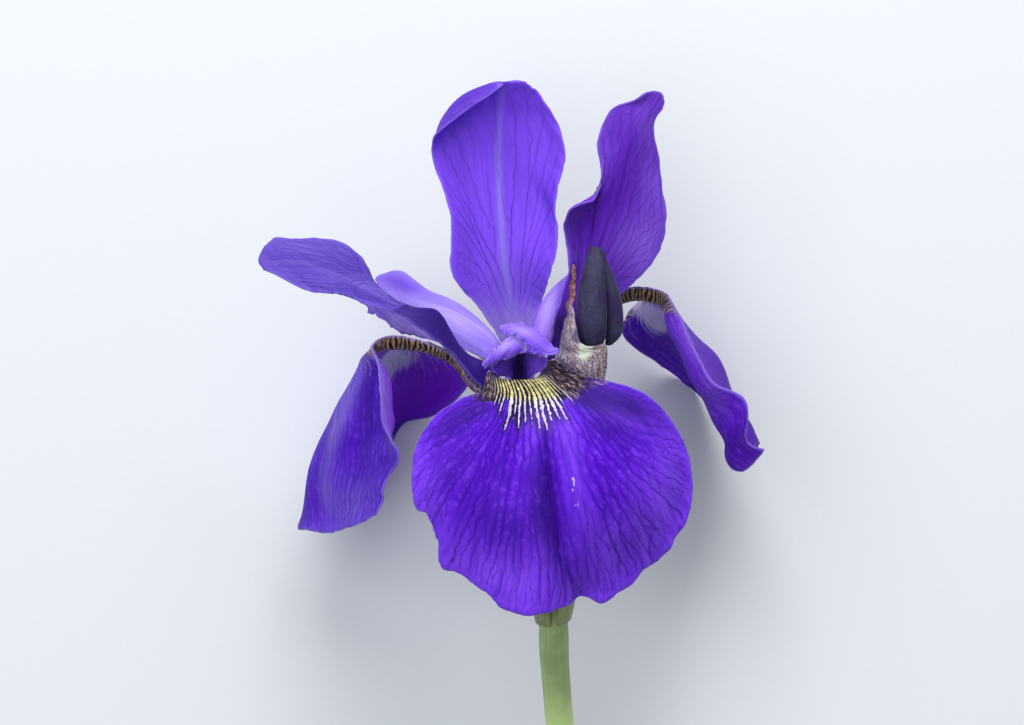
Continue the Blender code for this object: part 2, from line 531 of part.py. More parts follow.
# ---------------------------------------------------------------- bract
def rows_bract():
    return [
        shape_row(0.0, (572, 381, 5.6), (579, 383, 7.4), (588, 384, 8.4),
                  (597, 383, 7.8), (604, 382, 6.2)),
        shape_row(0.14, (560, 366, 6.0), (570, 368, 8.6), (583, 369, 9.8),
                  (597, 368, 8.8), (606.5, 367, 6.4)),
        shape_row(0.28, (556, 356, 5.6), (567, 357, 8.8), (581, 357, 10.2),
                  (597, 355, 9.2), (607, 354, 6.8)),
        shape_row(0.355, (559.3, 349, 5.3), (568, 352, 8.4),
                  (579.5, 355, 9.9), (594, 352.5, 9.3), (605, 344, 7.7)),
        shape_row(0.42, (560.5, 343, 5.0), (566, 346, 7.8),
                  (574, 349.3, 9.5), (584, 350, 9.9), (594.5, 346.5, 9.4)),
        shape_row(0.48, (561.7, 337, 4.8), (565.5, 340, 7.2),
                  (570.5, 343, 8.8), (576.5, 345, 9.6), (583.5, 345, 9.8)),
        shape_row(0.56, (564, 325.5, 4.4), (566.7, 327.5, 6.2),
                  (570, 330, 7.4), (573.5, 332, 8.2), (577.3, 333, 8.6)),
        shape_row(0.65, (566.5, 313, 4.2), (568.5, 313, 5.4),
                  (570.5, 313, 6.1), (572.5, 313, 6.5), (574.3, 313, 6.6)),
        shape_row(0.78, (568.2, 296, 4.1), (570, 296, 4.5), (571.7, 296, 4.8),
                  (573.4, 296, 4.9), (575, 296, 4.9)),
        shape_row(0.90, (571, 280, 4.2), (572.2, 280, 4.4),
                  (573.6, 280, 4.5), (575, 280, 4.5), (576.2, 280, 4.5)),
        shape_row(1.0, (572.2, 265, 4.3), (572.8, 264.6, 4.35),
                  (573.5, 264.4, 4.4), (574.2, 264.6, 4.4),
                  (574.8, 265, 4.4))]

# ---------------------------------------------------------------- meshes
def solid_from_grid(P, thick, taper=0.45):
    """closed shell of a grid of mm points: the sheet is thickened to both
    sides of the grid and thinned towards its free edges"""
    nu, nv = P.shape[:2]
    n = normals(P)
    t = np.full((nu, nv), thick / 2.0)
    t[-1, :] *= taper
    t[:, 0] *= taper
    t[:, -1] *= taper
    top = P + n * t[..., None]
    bot = P - n * t[..., None]
    verts = np.concatenate([top.reshape(-1, 3), bot.reshape(-1, 3)])
    faces = []
    off = nu * nv
    for i in range(nu - 1):
        for j in range(nv - 1):
            a, b = i * nv + j, i * nv + j + 1
            c, d = a + nv, b + nv
            faces.append((a, c, d, b))
            faces.append((off + a, off + b, off + d, off + c))
    ring = [j for j in range(nv)] \
        + [i * nv + nv - 1 for i in range(1, nu)] \
        + [(nu - 1) * nv + j for j in range(nv - 2, -1, -1)] \
        + [i * nv for i in range(nu - 2, 0, -1)]
    for k in range(len(ring)):
        a, b = ring[k], ring[(k + 1) % len(ring)]
        faces.append((a, b, off + b, off + a))
    return verts, faces


def loft(sections, seg=16, power=2.0):
    """closed solid along sections (centre, axis a, axis b, ra, rb) in mm"""
    verts, faces = [], []
    for c, a, b, ra, rb in sections:
        for k in range(seg):
            t = 2 * math.pi * k / seg
            ct, st = math.cos(t), math.sin(t)
            verts.append(np.asarray(c) + np.asarray(a) * ra * ct
                         + np.asarray(b) * rb * st)
    n = len(sections)
    for i in range(n - 1):
        for k in range(seg):
            k2 = (k + 1) % seg
            faces.append((i * seg + k, i * seg + k2,
                          (i + 1) * seg + k2, (i + 1) * seg + k))
    faces.append(tuple(range(seg - 1, -1, -1)))
    faces.append(tuple((n - 1) * seg + k for k in range(seg)))
    return np.array(verts), faces


def tube(path, radii, seg=14, lobes=0.0, flat=1.0):
    """loft along layout points; lobes gives a three-angled section"""
    W = world(np.array(path, float))
    T = np.gradient(W, axis=0)
    T /= np.linalg.norm(T, axis=1, keepdims=True)
    verts, faces = [], []
    for i, (c, t) in enumerate(zip(W, T)):
        b = FRONT - t * np.dot(FRONT, t)
        b /= np.linalg.norm(b)
        a = np.cross(b, t)
        for k in range(seg):
            w = 2 * math.pi * k / seg
            r = radii[i] * (1 + lobes * math.cos(3 * w))
            verts.append(c + a * r * math.sin(w) + b * r * flat * math.cos(w))
    n = len(W)
    for i in range(n - 1):
        for k in range(seg):
            k2 = (k + 1) % seg
            faces.append((i * seg + k, i * seg + k2,
                          (i + 1) * seg + k2, (i + 1) * seg + k))
    faces.append(tuple(range(seg - 1, -1, -1)))
    faces.append(tuple((n - 1) * seg + k for k in range(seg)))
    return np.array(verts), faces

# ---------------------------------------------------------------- nodes
def even(n):
    return np.linspace(0.0, 1.0, n)


def across(n):
    return np.linspace(-1.0, 1.0, n)


SHEETS = [
    # name, rows, cells along, cells across, thickness, material
    ("fall_front", rows_fall_front, 19, 29, PETAL, "fall_violet"),
    ("fall_left", rows_fall_left, 24, 13, PETAL, "fall_violet"),
    ("fall_right", rows_fall_right, 24, 13, PETAL, "fall_violet"),
    ("standard_back", rows_standard_back, 22, 11, PETAL, "standard_violet"),
    ("standard_left", rows_standard_left, 20, 9, PETAL, "standard_violet"),
    ("standard_right", rows_standard_right, 22, 11, PETAL,
     "standard_violet"),
    ("style_arm_front", rows_style_front, 9, 15, 0.42, "style_lilac"),
    ("style_arm_left", rows_style_left, 12, 11, 0.5, "style_lilac"),
    ("style_arm_right", rows_style_right, 11, 11, 0.5, "style_lilac"),
    ("style_crest_left", rows_crest_left, 8, 7, 0.4, "style_lilac"),
    ("style_crest_right", rows_crest_right, 10, 7, 0.4, "style_lilac"),
    ("bud_bract", rows_bract, 18, 9, 0.38, "bract_papery"),
]


def ellipse_loft(rows, seg=16):
    """rows of layout (xl, xr, y, d, half depth mm)"""
    secs = []
    for xl, xr, y, d, hz in rows:
        c = world(((xl + xr) / 2.0, y, d))
        ra = (xr - xl) / 2.0 * UNIT * (EYE - d) / EYE
        secs.append((c, (1, 0, 0), (0, 0, 1), ra, hz))
    return loft(secs, seg)


BUD_MAIN = [(589.5, 600, 247, 4.4, 0.5), (586.5, 602.5, 256, 4.6, 1.2),
            (583, 604, 268, 4.9, 1.9), (578.7, 605, 285, 5.2, 2.4),
            (576.8, 606.3, 302, 5.4, 2.6), (576.8, 606.8, 317, 5.5, 2.6),
            (578, 606.5, 330, 5.4, 2.3), (580, 604, 342, 5.2, 1.8),
            (584, 600, 352, 4.9, 1.4)]
BUD_SIDE = [(600.5, 603.8, 251, 1.9, 0.3), (600, 608.5, 264, 1.8, 1.0),
            (601, 615, 279, 1.8, 1.5), (602.5, 620.5, 295, 1.8, 1.9),
            (604, 623, 311, 1.8, 2.0), (605, 623.3, 326, 1.8, 1.9),
            (605.5, 620, 337, 1.8, 1.5), (605, 612, 345, 1.8, 0.8)]


def stamen(phi):
    if phi == 0:
        path = [Q(2.0, phi, 0.5), Q(2.4, phi, 3.0), Q(3.1, phi, 5.6),
                Q(4.0, phi, 7.4), Q(4.5, phi, 8.1), Q(5.0, phi, 8.7),
                Q(5.7, phi, 9.2), Q(6.4, phi, 9.75), Q(6.9, phi, 10.1)]
    elif phi < 0:
        path = [Q(1.85, phi, 0.5), Q(2.1, phi, 3.0), Q(2.8, phi, 5.8),
                Q(4.7, phi - 2, 8.2), (489, 364, -1.6), (486, 360, -2.2),
                (479, 351, -3.8), (471, 341, -5.4), (466, 335, -6.4)]
    else:
        path = [Q(2.0, phi, 0.5), Q(2.4, phi, 3.0), Q(3.2, phi, 5.6),
                Q(5.0, phi + 4, 8.2), (541, 351, -1.8), (543, 346, -2.6),
                (547, 336, -4.2), (553, 325, -6.0), (557, 318, -7.0)]
    radii = [.40, .36, .34, .32, .32, .55, .70, .60, .25]
    if phi == 0:
        radii = [.40, .36, .34, .32, .32, .45, .58, .50, .25]
    return tube(path, radii, seg=10)


def solids():
    out = []
    axis = [Q(0, 0, h) for h in (0.0, -2.0, -4.5, -6.0)]
    out.append(("perianth_tube", tube(
        axis, [2.75, 2.3, 2.15, 2.3], 18, .05), "tube_violet"))
    ov = [Q(0, 0, h) for h in (-6.35, -8.0, -11.0, -14.5, -17.5, -19.0)]
    out.append(("ovary", tube(ov, [2.1, 2.7, 3.0, 2.9, 2.2, 1.7], 18, .09),
                "ovary_green"))
    out.append(("style_column", tube(
        [Q(0, 0, .35), Q(0, 0, 2.5), Q(0, 0, 5.0), Q(0, 0, 7.0)],
        [.9, .95, 1.05, 1.15], 14, .08), "style_lilac"))
    out.append(("pedicel", tube(
        [Q(0, 0, -19.45), (544.5, 553, -7.9), (546.6, 575, -9.2),
         (548.0, 601, -10.8)], [1.45, 1.3, 1.25, 1.3], 14), "stem_green"))
    st = [(553, 607, -11.0), (553.3, 617, -11.7), (553.6, 628, -12.3),
          (554, 650, -13.5), (556, 680, -15.1), (558, 705, -16.4),
          (560, 725, -17.5), (563.5, 790, -21.2), (566, 870, -25.8),
          (567.5, 950, -30.4), (568, 1000, -33.4)]
    rr = [1.5, 2.2, 2.5, 2.5, 2.42, 2.40, 2.40, 2.45, 2.5, 2.55, 2.6]
    out.append(("stem", tube(st, rr, 20), "stem_green"))
    for ph, nm in ((0, "stamen_front"), (-120, "stamen_left"),
                   (120, "stamen_right")):
        out.append((nm, stamen(ph), "stamen_cream"))
    out.append(("bud_tepal_main", ellipse_loft(BUD_MAIN), "bud_dusk"))
    out.append(("bud_tepal_side", ellipse_loft(BUD_SIDE), "bud_dusk"))
    out.append(("bud_pedicel", tube(
        [(591, 358, 4.6), (591, 366, 4.4), (590, 380, 4.0), (586, 400, 3.2),
         (579, 430, 1.2), (573, 470, -1.6), (568.5, 520, -4.8),
         (566.5, 560, -7.0), (565.5, 590, -8.6)],
        [1.2, 1.6, 1.9, 1.9, 1.6, 1.2, 1.0, .95, .95], 12), "stem_green"))
    return out


def rows_spathe(side):
    """spathe valve: side -1 wraps the left of the stalks, +1 the right; the
    cross rows are arcs round the stem line"""
    rows = []
    prof = [(0.0, 619, -11.9, 2.95, 80), (0.2, 604, -10.9, 3.4, 78),
            (0.45, 588, -9.9, 3.7, 72), (0.7, 572, -8.9, 3.9, 58),
            (0.88, 558, -8.1, 3.9, 36), (1.0, 546, -7.5, 3.9, 9)]
    if side > 0:
        prof = [(u, y + (6 if u > .6 else 0) + 10 * u, d, r, a)
                for u, y, d, r, a in prof]
    for u, y, d, r, half in prof:
        cx = 553.4 + (615 - y) * 0.02
        c = world((cx, y, d))
        out = []
        for v in np.linspace(-1, 1, 7):
            a = math.radians(90 * side + half * v * (-1 if side > 0 else -1))
            w = c + r * (math.sin(a) * SIDE + math.cos(a) * FRONT)
            out.append((v,) + tuple(layout(w)))
        rows.append((u, out))
    return rows


SHEETS += [
    ("spathe_left", lambda: rows_spathe(-1), 12, 11, 0.5, "spathe_green"),
    ("spathe_right", lambda: rows_spathe(1), 12, 11, 0.5, "spathe_green"),
]

MATERIALS = {
    "fall_violet": ((0.10, 0.018, 0.60), 0.55),
    "standard_violet": ((0.19, 0.07, 0.72), 0.55),
    "style_lilac": ((0.45, 0.32, 0.90), 0.5),
    "tube_violet": ((0.20, 0.16, 0.22), 0.6),
    "ovary_green": ((0.16, 0.24, 0.09), 0.55),
    "stem_green": ((0.26, 0.36, 0.15), 0.5),
    "spathe_green": ((0.28, 0.30, 0.14), 0.6),
    "stamen_cream": ((0.62, 0.58, 0.44), 0.6),
    "bud_dusk": ((0.045, 0.045, 0.095), 0.6),
    "bract_papery": ((0.30, 0.25, 0.24), 0.75),
}


def material(name):
    m = bpy.data.materials.get(name)
    if m is None:
        m = bpy.data.materials.new(name)
        m.use_nodes = True
        b = m.node_tree.nodes["Principled BSDF"]
        col, rough = MATERIALS[name]
        b.inputs["Base Color"].default_value = col + (1.0,)
        b.inputs["Roughness"].default_value = rough
    return m


def signed_volume(v, faces):
    s = 0.0
    for f in faces:
        a = v[f[0]]
        for k in range(1, len(f) - 1):
            s += np.dot(a, np.cross(v[f[k]], v[f[k + 1]]))
    return s / 6.0


def add(name, verts, faces, mat):
    V = posed(np.asarray(verts, float))
    if signed_volume(V, faces) < 0:
        faces = [tuple(reversed(f)) for f in faces]
    me = bpy.data.meshes.new(name)
    me.from_pydata([tuple(p) for p in V], [], faces)
    me.update()
    me.materials.append(material(mat))
    ob = bpy.data.objects.new(name, me)
    bpy.context.scene.collection.objects.link(ob)
    return ob


def build():
    for ob in list(bpy.data.objects):
        bpy.data.objects.remove(ob)
    for name, rows, nu, nv, thick, mat in SHEETS:
        P = world(net(rows(), even(nu), across(nv)))
        v, f = solid_from_grid(P, thick)
        add(name, v, f, mat)
    for name, (v, f), mat in solids():
        add(name, v, f, mat)


build()
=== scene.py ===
import math
import bpy
import numpy as np
from mathutils import Matrix, Vector, kdtree

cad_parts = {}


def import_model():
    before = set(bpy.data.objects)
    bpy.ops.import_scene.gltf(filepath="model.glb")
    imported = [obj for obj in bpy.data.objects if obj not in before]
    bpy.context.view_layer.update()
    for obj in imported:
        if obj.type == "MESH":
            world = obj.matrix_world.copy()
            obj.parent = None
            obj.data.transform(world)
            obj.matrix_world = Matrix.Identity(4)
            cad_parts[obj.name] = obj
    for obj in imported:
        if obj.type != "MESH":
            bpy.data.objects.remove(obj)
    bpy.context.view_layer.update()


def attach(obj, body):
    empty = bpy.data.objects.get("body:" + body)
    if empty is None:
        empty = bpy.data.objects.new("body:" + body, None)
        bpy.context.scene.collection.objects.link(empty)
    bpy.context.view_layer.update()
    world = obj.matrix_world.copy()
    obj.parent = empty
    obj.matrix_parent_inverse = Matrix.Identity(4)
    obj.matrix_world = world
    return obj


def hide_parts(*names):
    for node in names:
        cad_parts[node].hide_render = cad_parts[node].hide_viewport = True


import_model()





# ---------------------------------------------------------------- layout
# The flower is laid out on a front elevation drawn in sixths of a millimetre
# (x to the right, y downwards) with d, in millimetres, standing out of the
# drawing towards the observer. The elevation is seen from an eye point that
# stands EYE millimetres in front of the heart of the flower.
EYE = 600.0
UNIT = 1.0 / 6.0
CX, CY = 512.0, 362.5

# pose on the floor: the elevation turned a little about X and Y, then shifted
TILT_X = 5.1253
TILT_Y = 1.1625
SHIFT = (-0.529, 30.882, 45.870)

PETAL = 0.55      # thickness of a tepal
AXIS_LEAN = math.radians(20.0)


def world(p):
    """layout (x, y, d) -> millimetres in the unposed frame"""
    p = np.asarray(p, float)
    k = (EYE - p[..., 2]) / EYE * UNIT
    return np.stack([(p[..., 0] - CX) * k, -(p[..., 1] - CY) * k,
                     p[..., 2]], -1)


def layout(p):
    p = np.asarray(p, float)
    k = EYE / (EYE - p[..., 2]) / UNIT
    return np.stack([CX + p[..., 0] * k, CY - p[..., 1] * k, p[..., 2]], -1)


def posed(p):
    """unposed millimetres -> row frame metres"""
    ax, ay = math.radians(TILT_X), math.radians(TILT_Y)
    x, y, z = p[..., 0], p[..., 1], p[..., 2]
    y, z = y * math.cos(ax) - z * math.sin(ax), \
        y * math.sin(ax) + z * math.cos(ax)
    x, z = x * math.cos(ay) + z * math.sin(ay), \
        -x * math.sin(ay) + z * math.cos(ay)
    out = np.stack([x + SHIFT[0], y + SHIFT[1], z + SHIFT[2]], -1)
    return out * 0.001


# flower axis: up the flower and towards the observer
TUBE_TOP = (527.0, 425.0, 0.0)
UPV = np.array([-0.127, 0.930, 0.342])
UPV /= np.linalg.norm(UPV)
SIDE = np.array([1.0, 0.0, 0.0]) - UPV * UPV[0]
SIDE /= np.linalg.norm(SIDE)
FRONT = np.cross(SIDE, UPV)


def Q(r, phi, h):
    """layout point r mm off the axis, phi degrees to the right of the front
    and h mm above the top of the tube"""
    a = math.radians(phi)
    w = world(TUBE_TOP) + r * (math.cos(a) * FRONT + math.sin(a) * SIDE) \
        + h * UPV
    return tuple(layout(w))


# ---------------------------------------------------------------- splines
def spline(t, p, q):
    """natural cubic through (t, p) evaluated at q"""
    t = np.asarray(t, float)
    p = np.asarray(p, float)
    q = np.asarray(q, float)
    shp = p.shape[1:]
    p = p.reshape(len(t), -1)
    n = len(t)
    if n == 2:
        w = ((q - t[0]) / (t[1] - t[0]))[:, None]
        return ((1 - w) * p[0] + w * p[1]).reshape((len(q),) + shp)
    h = np.diff(t)
    A = np.zeros((n, n))
    B = np.zeros_like(p)
    A[0, 0] = A[-1, -1] = 1.0
    for i in range(1, n - 1):
        A[i, i - 1] = h[i - 1]
        A[i, i] = 2 * (h[i - 1] + h[i])
        A[i, i + 1] = h[i]
        B[i] = 6 * ((p[i + 1] - p[i]) / h[i] - (p[i] - p[i - 1]) / h[i - 1])
    m = np.linalg.solve(A, B)
    k = np.clip(np.searchsorted(t, q, 'right') - 1, 0, n - 2)
    a = ((t[k + 1] - q) / h[k])[:, None]
    b = 1 - a
    hh = (h[k] ** 2)[:, None] / 6
    out = a * p[k] + b * p[k + 1] + ((a ** 3 - a) * m[k]
                                     + (b ** 3 - b) * m[k + 1]) * hh
    return out.reshape((len(q),) + shp)


def net(rows, U, V):
    """rows: [(u, [(v, x, y, d), ...]), ...] -> layout grid len(U) x len(V)"""
    us = [r[0] for r in rows]
    lines = []
    for _, pts in rows:
        a = np.array(pts, float)
        lines.append(spline(a[:, 0], a[:, 1:], V))
    return spline(us, np.array(lines), U)


def arc(r, phi, h, half, n=5, u=0.0, flip=1.0):
    """base row of a tepal, part of a ring round the axis"""
    out = []
    for v in np.linspace(-1, 1, n):
        out.append((v,) + Q(r, phi + flip * half * v, h))
    return (u, out)


def channel(u, r, phi, h, half, cup, flip=1.0):
    """cross row of a claw: half width and depth of the channel in mm, the
    hollow side facing the axis and upwards"""
    a = math.radians(phi)
    rad = math.cos(a) * FRONT + math.sin(a) * SIDE
    tan = -math.sin(a) * FRONT + math.cos(a) * SIDE
    base = world(TUBE_TOP) + r * rad + h * UPV
    nrm = -0.8 * rad + 0.6 * UPV
    out = []
    for v in np.linspace(-1, 1, 5):
        w = base + flip * tan * half * v + nrm * cup * v * v
        out.append((v,) + tuple(layout(w)))
    return (u, out)


def shape_row(u, *pts):
    """row given by points (x, y, d) spread evenly, or (v, x, y, d)"""
    if len(pts[0]) == 4:
        return (u, list(pts))
    vs = np.linspace(-1, 1, len(pts))
    return (u, [(v,) + tuple(p) for v, p in zip(vs, pts)])


def normals(P):
    du = np.gradient(P, axis=0)
    dv = np.gradient(P, axis=1)
    n = np.cross(du, dv)
    n /= np.maximum(np.linalg.norm(n, axis=-1, keepdims=True), 1e-9)
    return n

# ---------------------------------------------------------------- tepals
def fan_depth(x, y, pts):
    """smooth height over the elevation through the given (x, y, d) points"""
    a = np.array(pts, float)
    def ker(r2):
        return np.where(r2 > 1e-12, r2 * np.log(np.maximum(r2, 1e-12)), 0.0)
    s = 100.0
    ax, ay = a[:, 0] / s, a[:, 1] / s
    n = len(a)
    K = ker((ax[:, None] - ax) ** 2 + (ay[:, None] - ay) ** 2)
    K += np.eye(n) * 0.02
    Pm = np.stack([np.ones(n), ax, ay], 1)
    M = np.block([[K, Pm], [Pm.T, np.zeros((3, 3))]])
    w = np.linalg.solve(M, np.concatenate([a[:, 2], np.zeros(3)]))
    x = np.asarray(x, float) / s
    y = np.asarray(y, float) / s
    k = ker((x[..., None] - ax) ** 2 + (y[..., None] - ay) ** 2)
    return k @ w[:n] + w[n] + w[n + 1] * x + w[n + 2] * y


FALL_DEPTH = [
    (482, 392, 14.5), (467, 395, 14.5), (438, 413, 14.5), (420, 436, 15.0),
    (411, 475, 15.5), (421, 512, 17.0), (445, 556, 18.0), (472, 581, 19.5),
    (498, 604, 21.5), (528, 616, 23.5), (560, 609, 22.5), (590, 600, 21.0),
    (625, 588, 18.0), (655, 560, 15.5), (682, 530, 14.0), (692, 490, 13.0),
    (688, 450, 13.5), (668, 414, 14.0), (640, 391, 14.5), (606, 380, 15.0),
    (460, 440, 19.0), (450, 490, 20.5), (470, 540, 22.5), (500, 470, 25.0),
    (505, 530, 25.5), (500, 425, 23.0), (540, 405, 23.5), (543, 430, 26.5),
    (545, 470, 27.6), (552, 510, 27.4), (562, 560, 25.0), (580, 430, 25.5),
    (590, 480, 27.3), (610, 430, 22.5), (625, 520, 23.5), (640, 460, 20.5),
    (600, 550, 24.0), (585, 395, 19.5), (655, 500, 18.0), (530, 580, 25.0),
    (583, 592, 21.3)]

# margin of the front fall, (x, y) or (x, y, v)
FALL_MARGIN = [
    (413, 456, -1.0), (412, 471), (411, 486), (414, 503, -.76), (418, 511),
    (423, 512), (429, 519), (435, 530), (441, 546, -.56), (446, 555),
    (442, 561), (443, 567), (455, 571, -.42), (467, 577), (480, 587),
    (492, 597, -.26), (501, 607), (515, 613), (526, 616, -.08), (540, 614),
    (551, 612), (563, 608, .12), (574, 603), (584, 598), (591, 599, .26),
    (599, 603), (608, 598), (622, 590, .40), (633, 583), (639, 574),
    (651, 566, .54), (664, 555), (672, 546), (675, 538), (682, 530, .70),
    (687, 517), (691, 502), (692, 486, .86), (690, 467), (687, 450, 1.0)]


def margin_row(u, pts, depth):
    """dense margin; v between the marked points follows the arc length"""
    xy = np.array([p[:2] for p in pts], float)
    s = np.concatenate([[0], np.cumsum(np.hypot(*np.diff(xy, axis=0).T))])
    ks = [i for i, p in enumerate(pts) if len(p) == 3]
    v = np.interp(s, s[ks], [pts[i][2] for i in ks])
    return (u, [(vv, x, y, float(fan_depth(x, y, depth)))
                for vv, (x, y) in zip(v, xy)])


def fan_row(u, depth, *pts):
    vs = np.linspace(-1, 1, len(pts))
    return (u, [(v, x, y, float(fan_depth(x, y, depth)))
                for v, (x, y) in zip(vs, pts)])


def rows_fall_front():
    D = FALL_DEPTH
    return [
        arc(3.1, 0, 0.35, 30),
        channel(0.12, 4.6, 0, 5.2, 1.9, 0.5),
        channel(0.20, 7.4, 0, 8.8, 3.7, 2.2),
        (0.28, [(-1, 489, 370, 9.6), (-.8, 490, 376, 10.8),
                (-.5, 500, 380, 12.6), (0, 522, 381, 13.6),
                (.4, 539, 378, 12.6), (.7, 549, 370, 10.6),
                (1, 553, 359, 8.6)]),
        (0.35, [(-1, 486, 381, 12.4), (-.75, 491, 386, 14.6),
                (-.4, 508, 389, 17.6), (0, 529, 390, 19.0),
                (.4, 549, 386, 17.0), (.7, 561, 379, 13.8),
                (1, 567, 368, 10.6)]),
        (0.42, [(-1, 482, 391, 14.2), (-.7, 491, 396, 17.2),
                (-.35, 512, 399, 20.8), (0, 534, 400, 22.4),
                (.4, 559, 396, 20.4), (.7, 574, 387, 17.0),
                (1, 583, 376, 13.2)]),
        fan_row(0.50, D, (468, 396), (478, 406), (494, 413), (514, 417),
                (538, 418), (562, 415), (584, 407), (600, 395), (606, 381)),
        fan_row(0.62, D, (446, 407), (455, 425), (475, 439), (504, 447),
                (541, 450), (576, 446), (606, 432), (627, 411), (635, 389)),
        fan_row(0.78, D, (427, 425), (434, 458), (452, 495), (490, 518),
                (545, 524), (592, 520), (632, 486), (656, 450), (661, 407)),
        fan_row(0.91, D, (417, 443), (424, 482), (440, 524), (482, 563),
                (546, 580), (600, 573), (655, 522), (679, 470), (680, 434)),
        margin_row(1.0, FALL_MARGIN, D)]


def rows_fall_left():
    # v = -1 far margin, 0 midrib, 1 near margin
    return [
        arc(3.1, -120, 0.35, 30, flip=1.0),
        channel(0.08, 4.6, -120, 4.0, 1.8, 0.4),
        shape_row(0.15, (484, 380, -10.0), (482, 390, -8.4), (478, 393, -5.6),
                  (475, 389, -4.2), (472, 384, -3.6)),
        shape_row(0.25, (460, 359, -14.2), (458, 366, -12.0),
                  (456, 367.5, -9.6), (455, 365, -7.2), (456, 358.5, -6.2)),
        shape_row(0.34, (436, 345, -18.6), (433, 351, -16.0),
                  (430, 352.5, -12.8), (429, 350, -10.0), (430, 343.5, -8.8)),
        shape_row(0.42, (408, 338, -23.6), (404, 345, -20.4),
                  (400, 348.5, -16.6), (399, 346, -13.2), (399, 335.5, -12.0)),
        shape_row(0.49, (402, 339, -29.5), (394, 346, -24.5),
                  (381, 350, -19.6), (378, 347.5, -16.6), (381, 338, -15.2)),
        (0.55, [(-1, 432, 350, -35.5), (-.5, 398, 349, -29.0),
                (0, 366, 357, -21.8), (.45, 368, 353, -18.0),
                (.75, 372, 350, -15.6), (1, 372, 346, -14.8)]),
        (0.62, [(-1, 461, 371, -38.5), (-.5, 406, 366, -36.0),
                (0, 359, 369, -23.6), (.4, 370, 367, -17.6),
                (.78, 386, 371, -13.4), (1, 377.5, 364, -10.8)]),
        (0.68, [(-1, 466, 389, -40.0), (-.5, 408, 386, -40.0),
                (0, 348, 387, -25.0), (.4, 367, 391, -17.0),
                (.80, 390, 392, -11.2), (1, 379, 385, -9.0)]),
        (0.74, [(-1, 433, 416, -43.4), (-.5, 392, 404, -42.0),
                (0, 338, 405, -26.2), (.4, 361, 415, -17.2),
                (.82, 391.5, 413, -9.8), (1, 380.5, 408, -8.0)]),
        (0.80, [(-1, 404, 424, -45.0), (-.5, 376, 424, -42.6),
                (0, 327, 427, -27.0), (.4, 355, 440, -17.6),
                (.84, 393, 429, -9.0), (1, 386, 431, -7.6)]),
        (0.84, [(-1, 393, 440, -45.0), (-.5, 365, 440, -41.6),
                (0, 320, 442, -27.4), (.4, 352, 455, -17.8),
                (.84, 389, 449, -9.0), (1, 398, 447, -7.2)]),
        (0.885, [(-1, 376, 462, -44.0), (-.5, 352, 460, -39.6),
                 (0, 311, 466, -27.8), (.4, 347, 475, -18.0),
                 (.84, 388, 466, -9.4), (1, 398, 464.5, -8.0)]),
        (0.93, [(-1, 358, 486, -41.0), (-.5, 336, 484, -36.6),
                (0, 306, 490, -27.8), (.4, 341, 498, -18.4),
                (.8, 375, 489, -10.6), (1, 385, 487, -8.6)]),
        (0.97, [(-1, 340, 506, -37.0), (-.5, 322, 508, -33.0),
                (0, 303, 513, -27.6), (.4, 334, 516, -18.8),
                (.8, 372, 504, -11.0), (1, 384, 501, -9.0)]),
        (1.0, [(-1, 322, 520, -33.4), (-.5, 311, 524, -30.4),
               (0, 298.5, 529.5, -27.0), (.15, 306, 530, -24.2),
               (.4, 324, 533, -19.2), (.65, 345, 529, -14.6),
               (.85, 364, 522, -11.4), (1, 377, 514.5, -9.6)])]


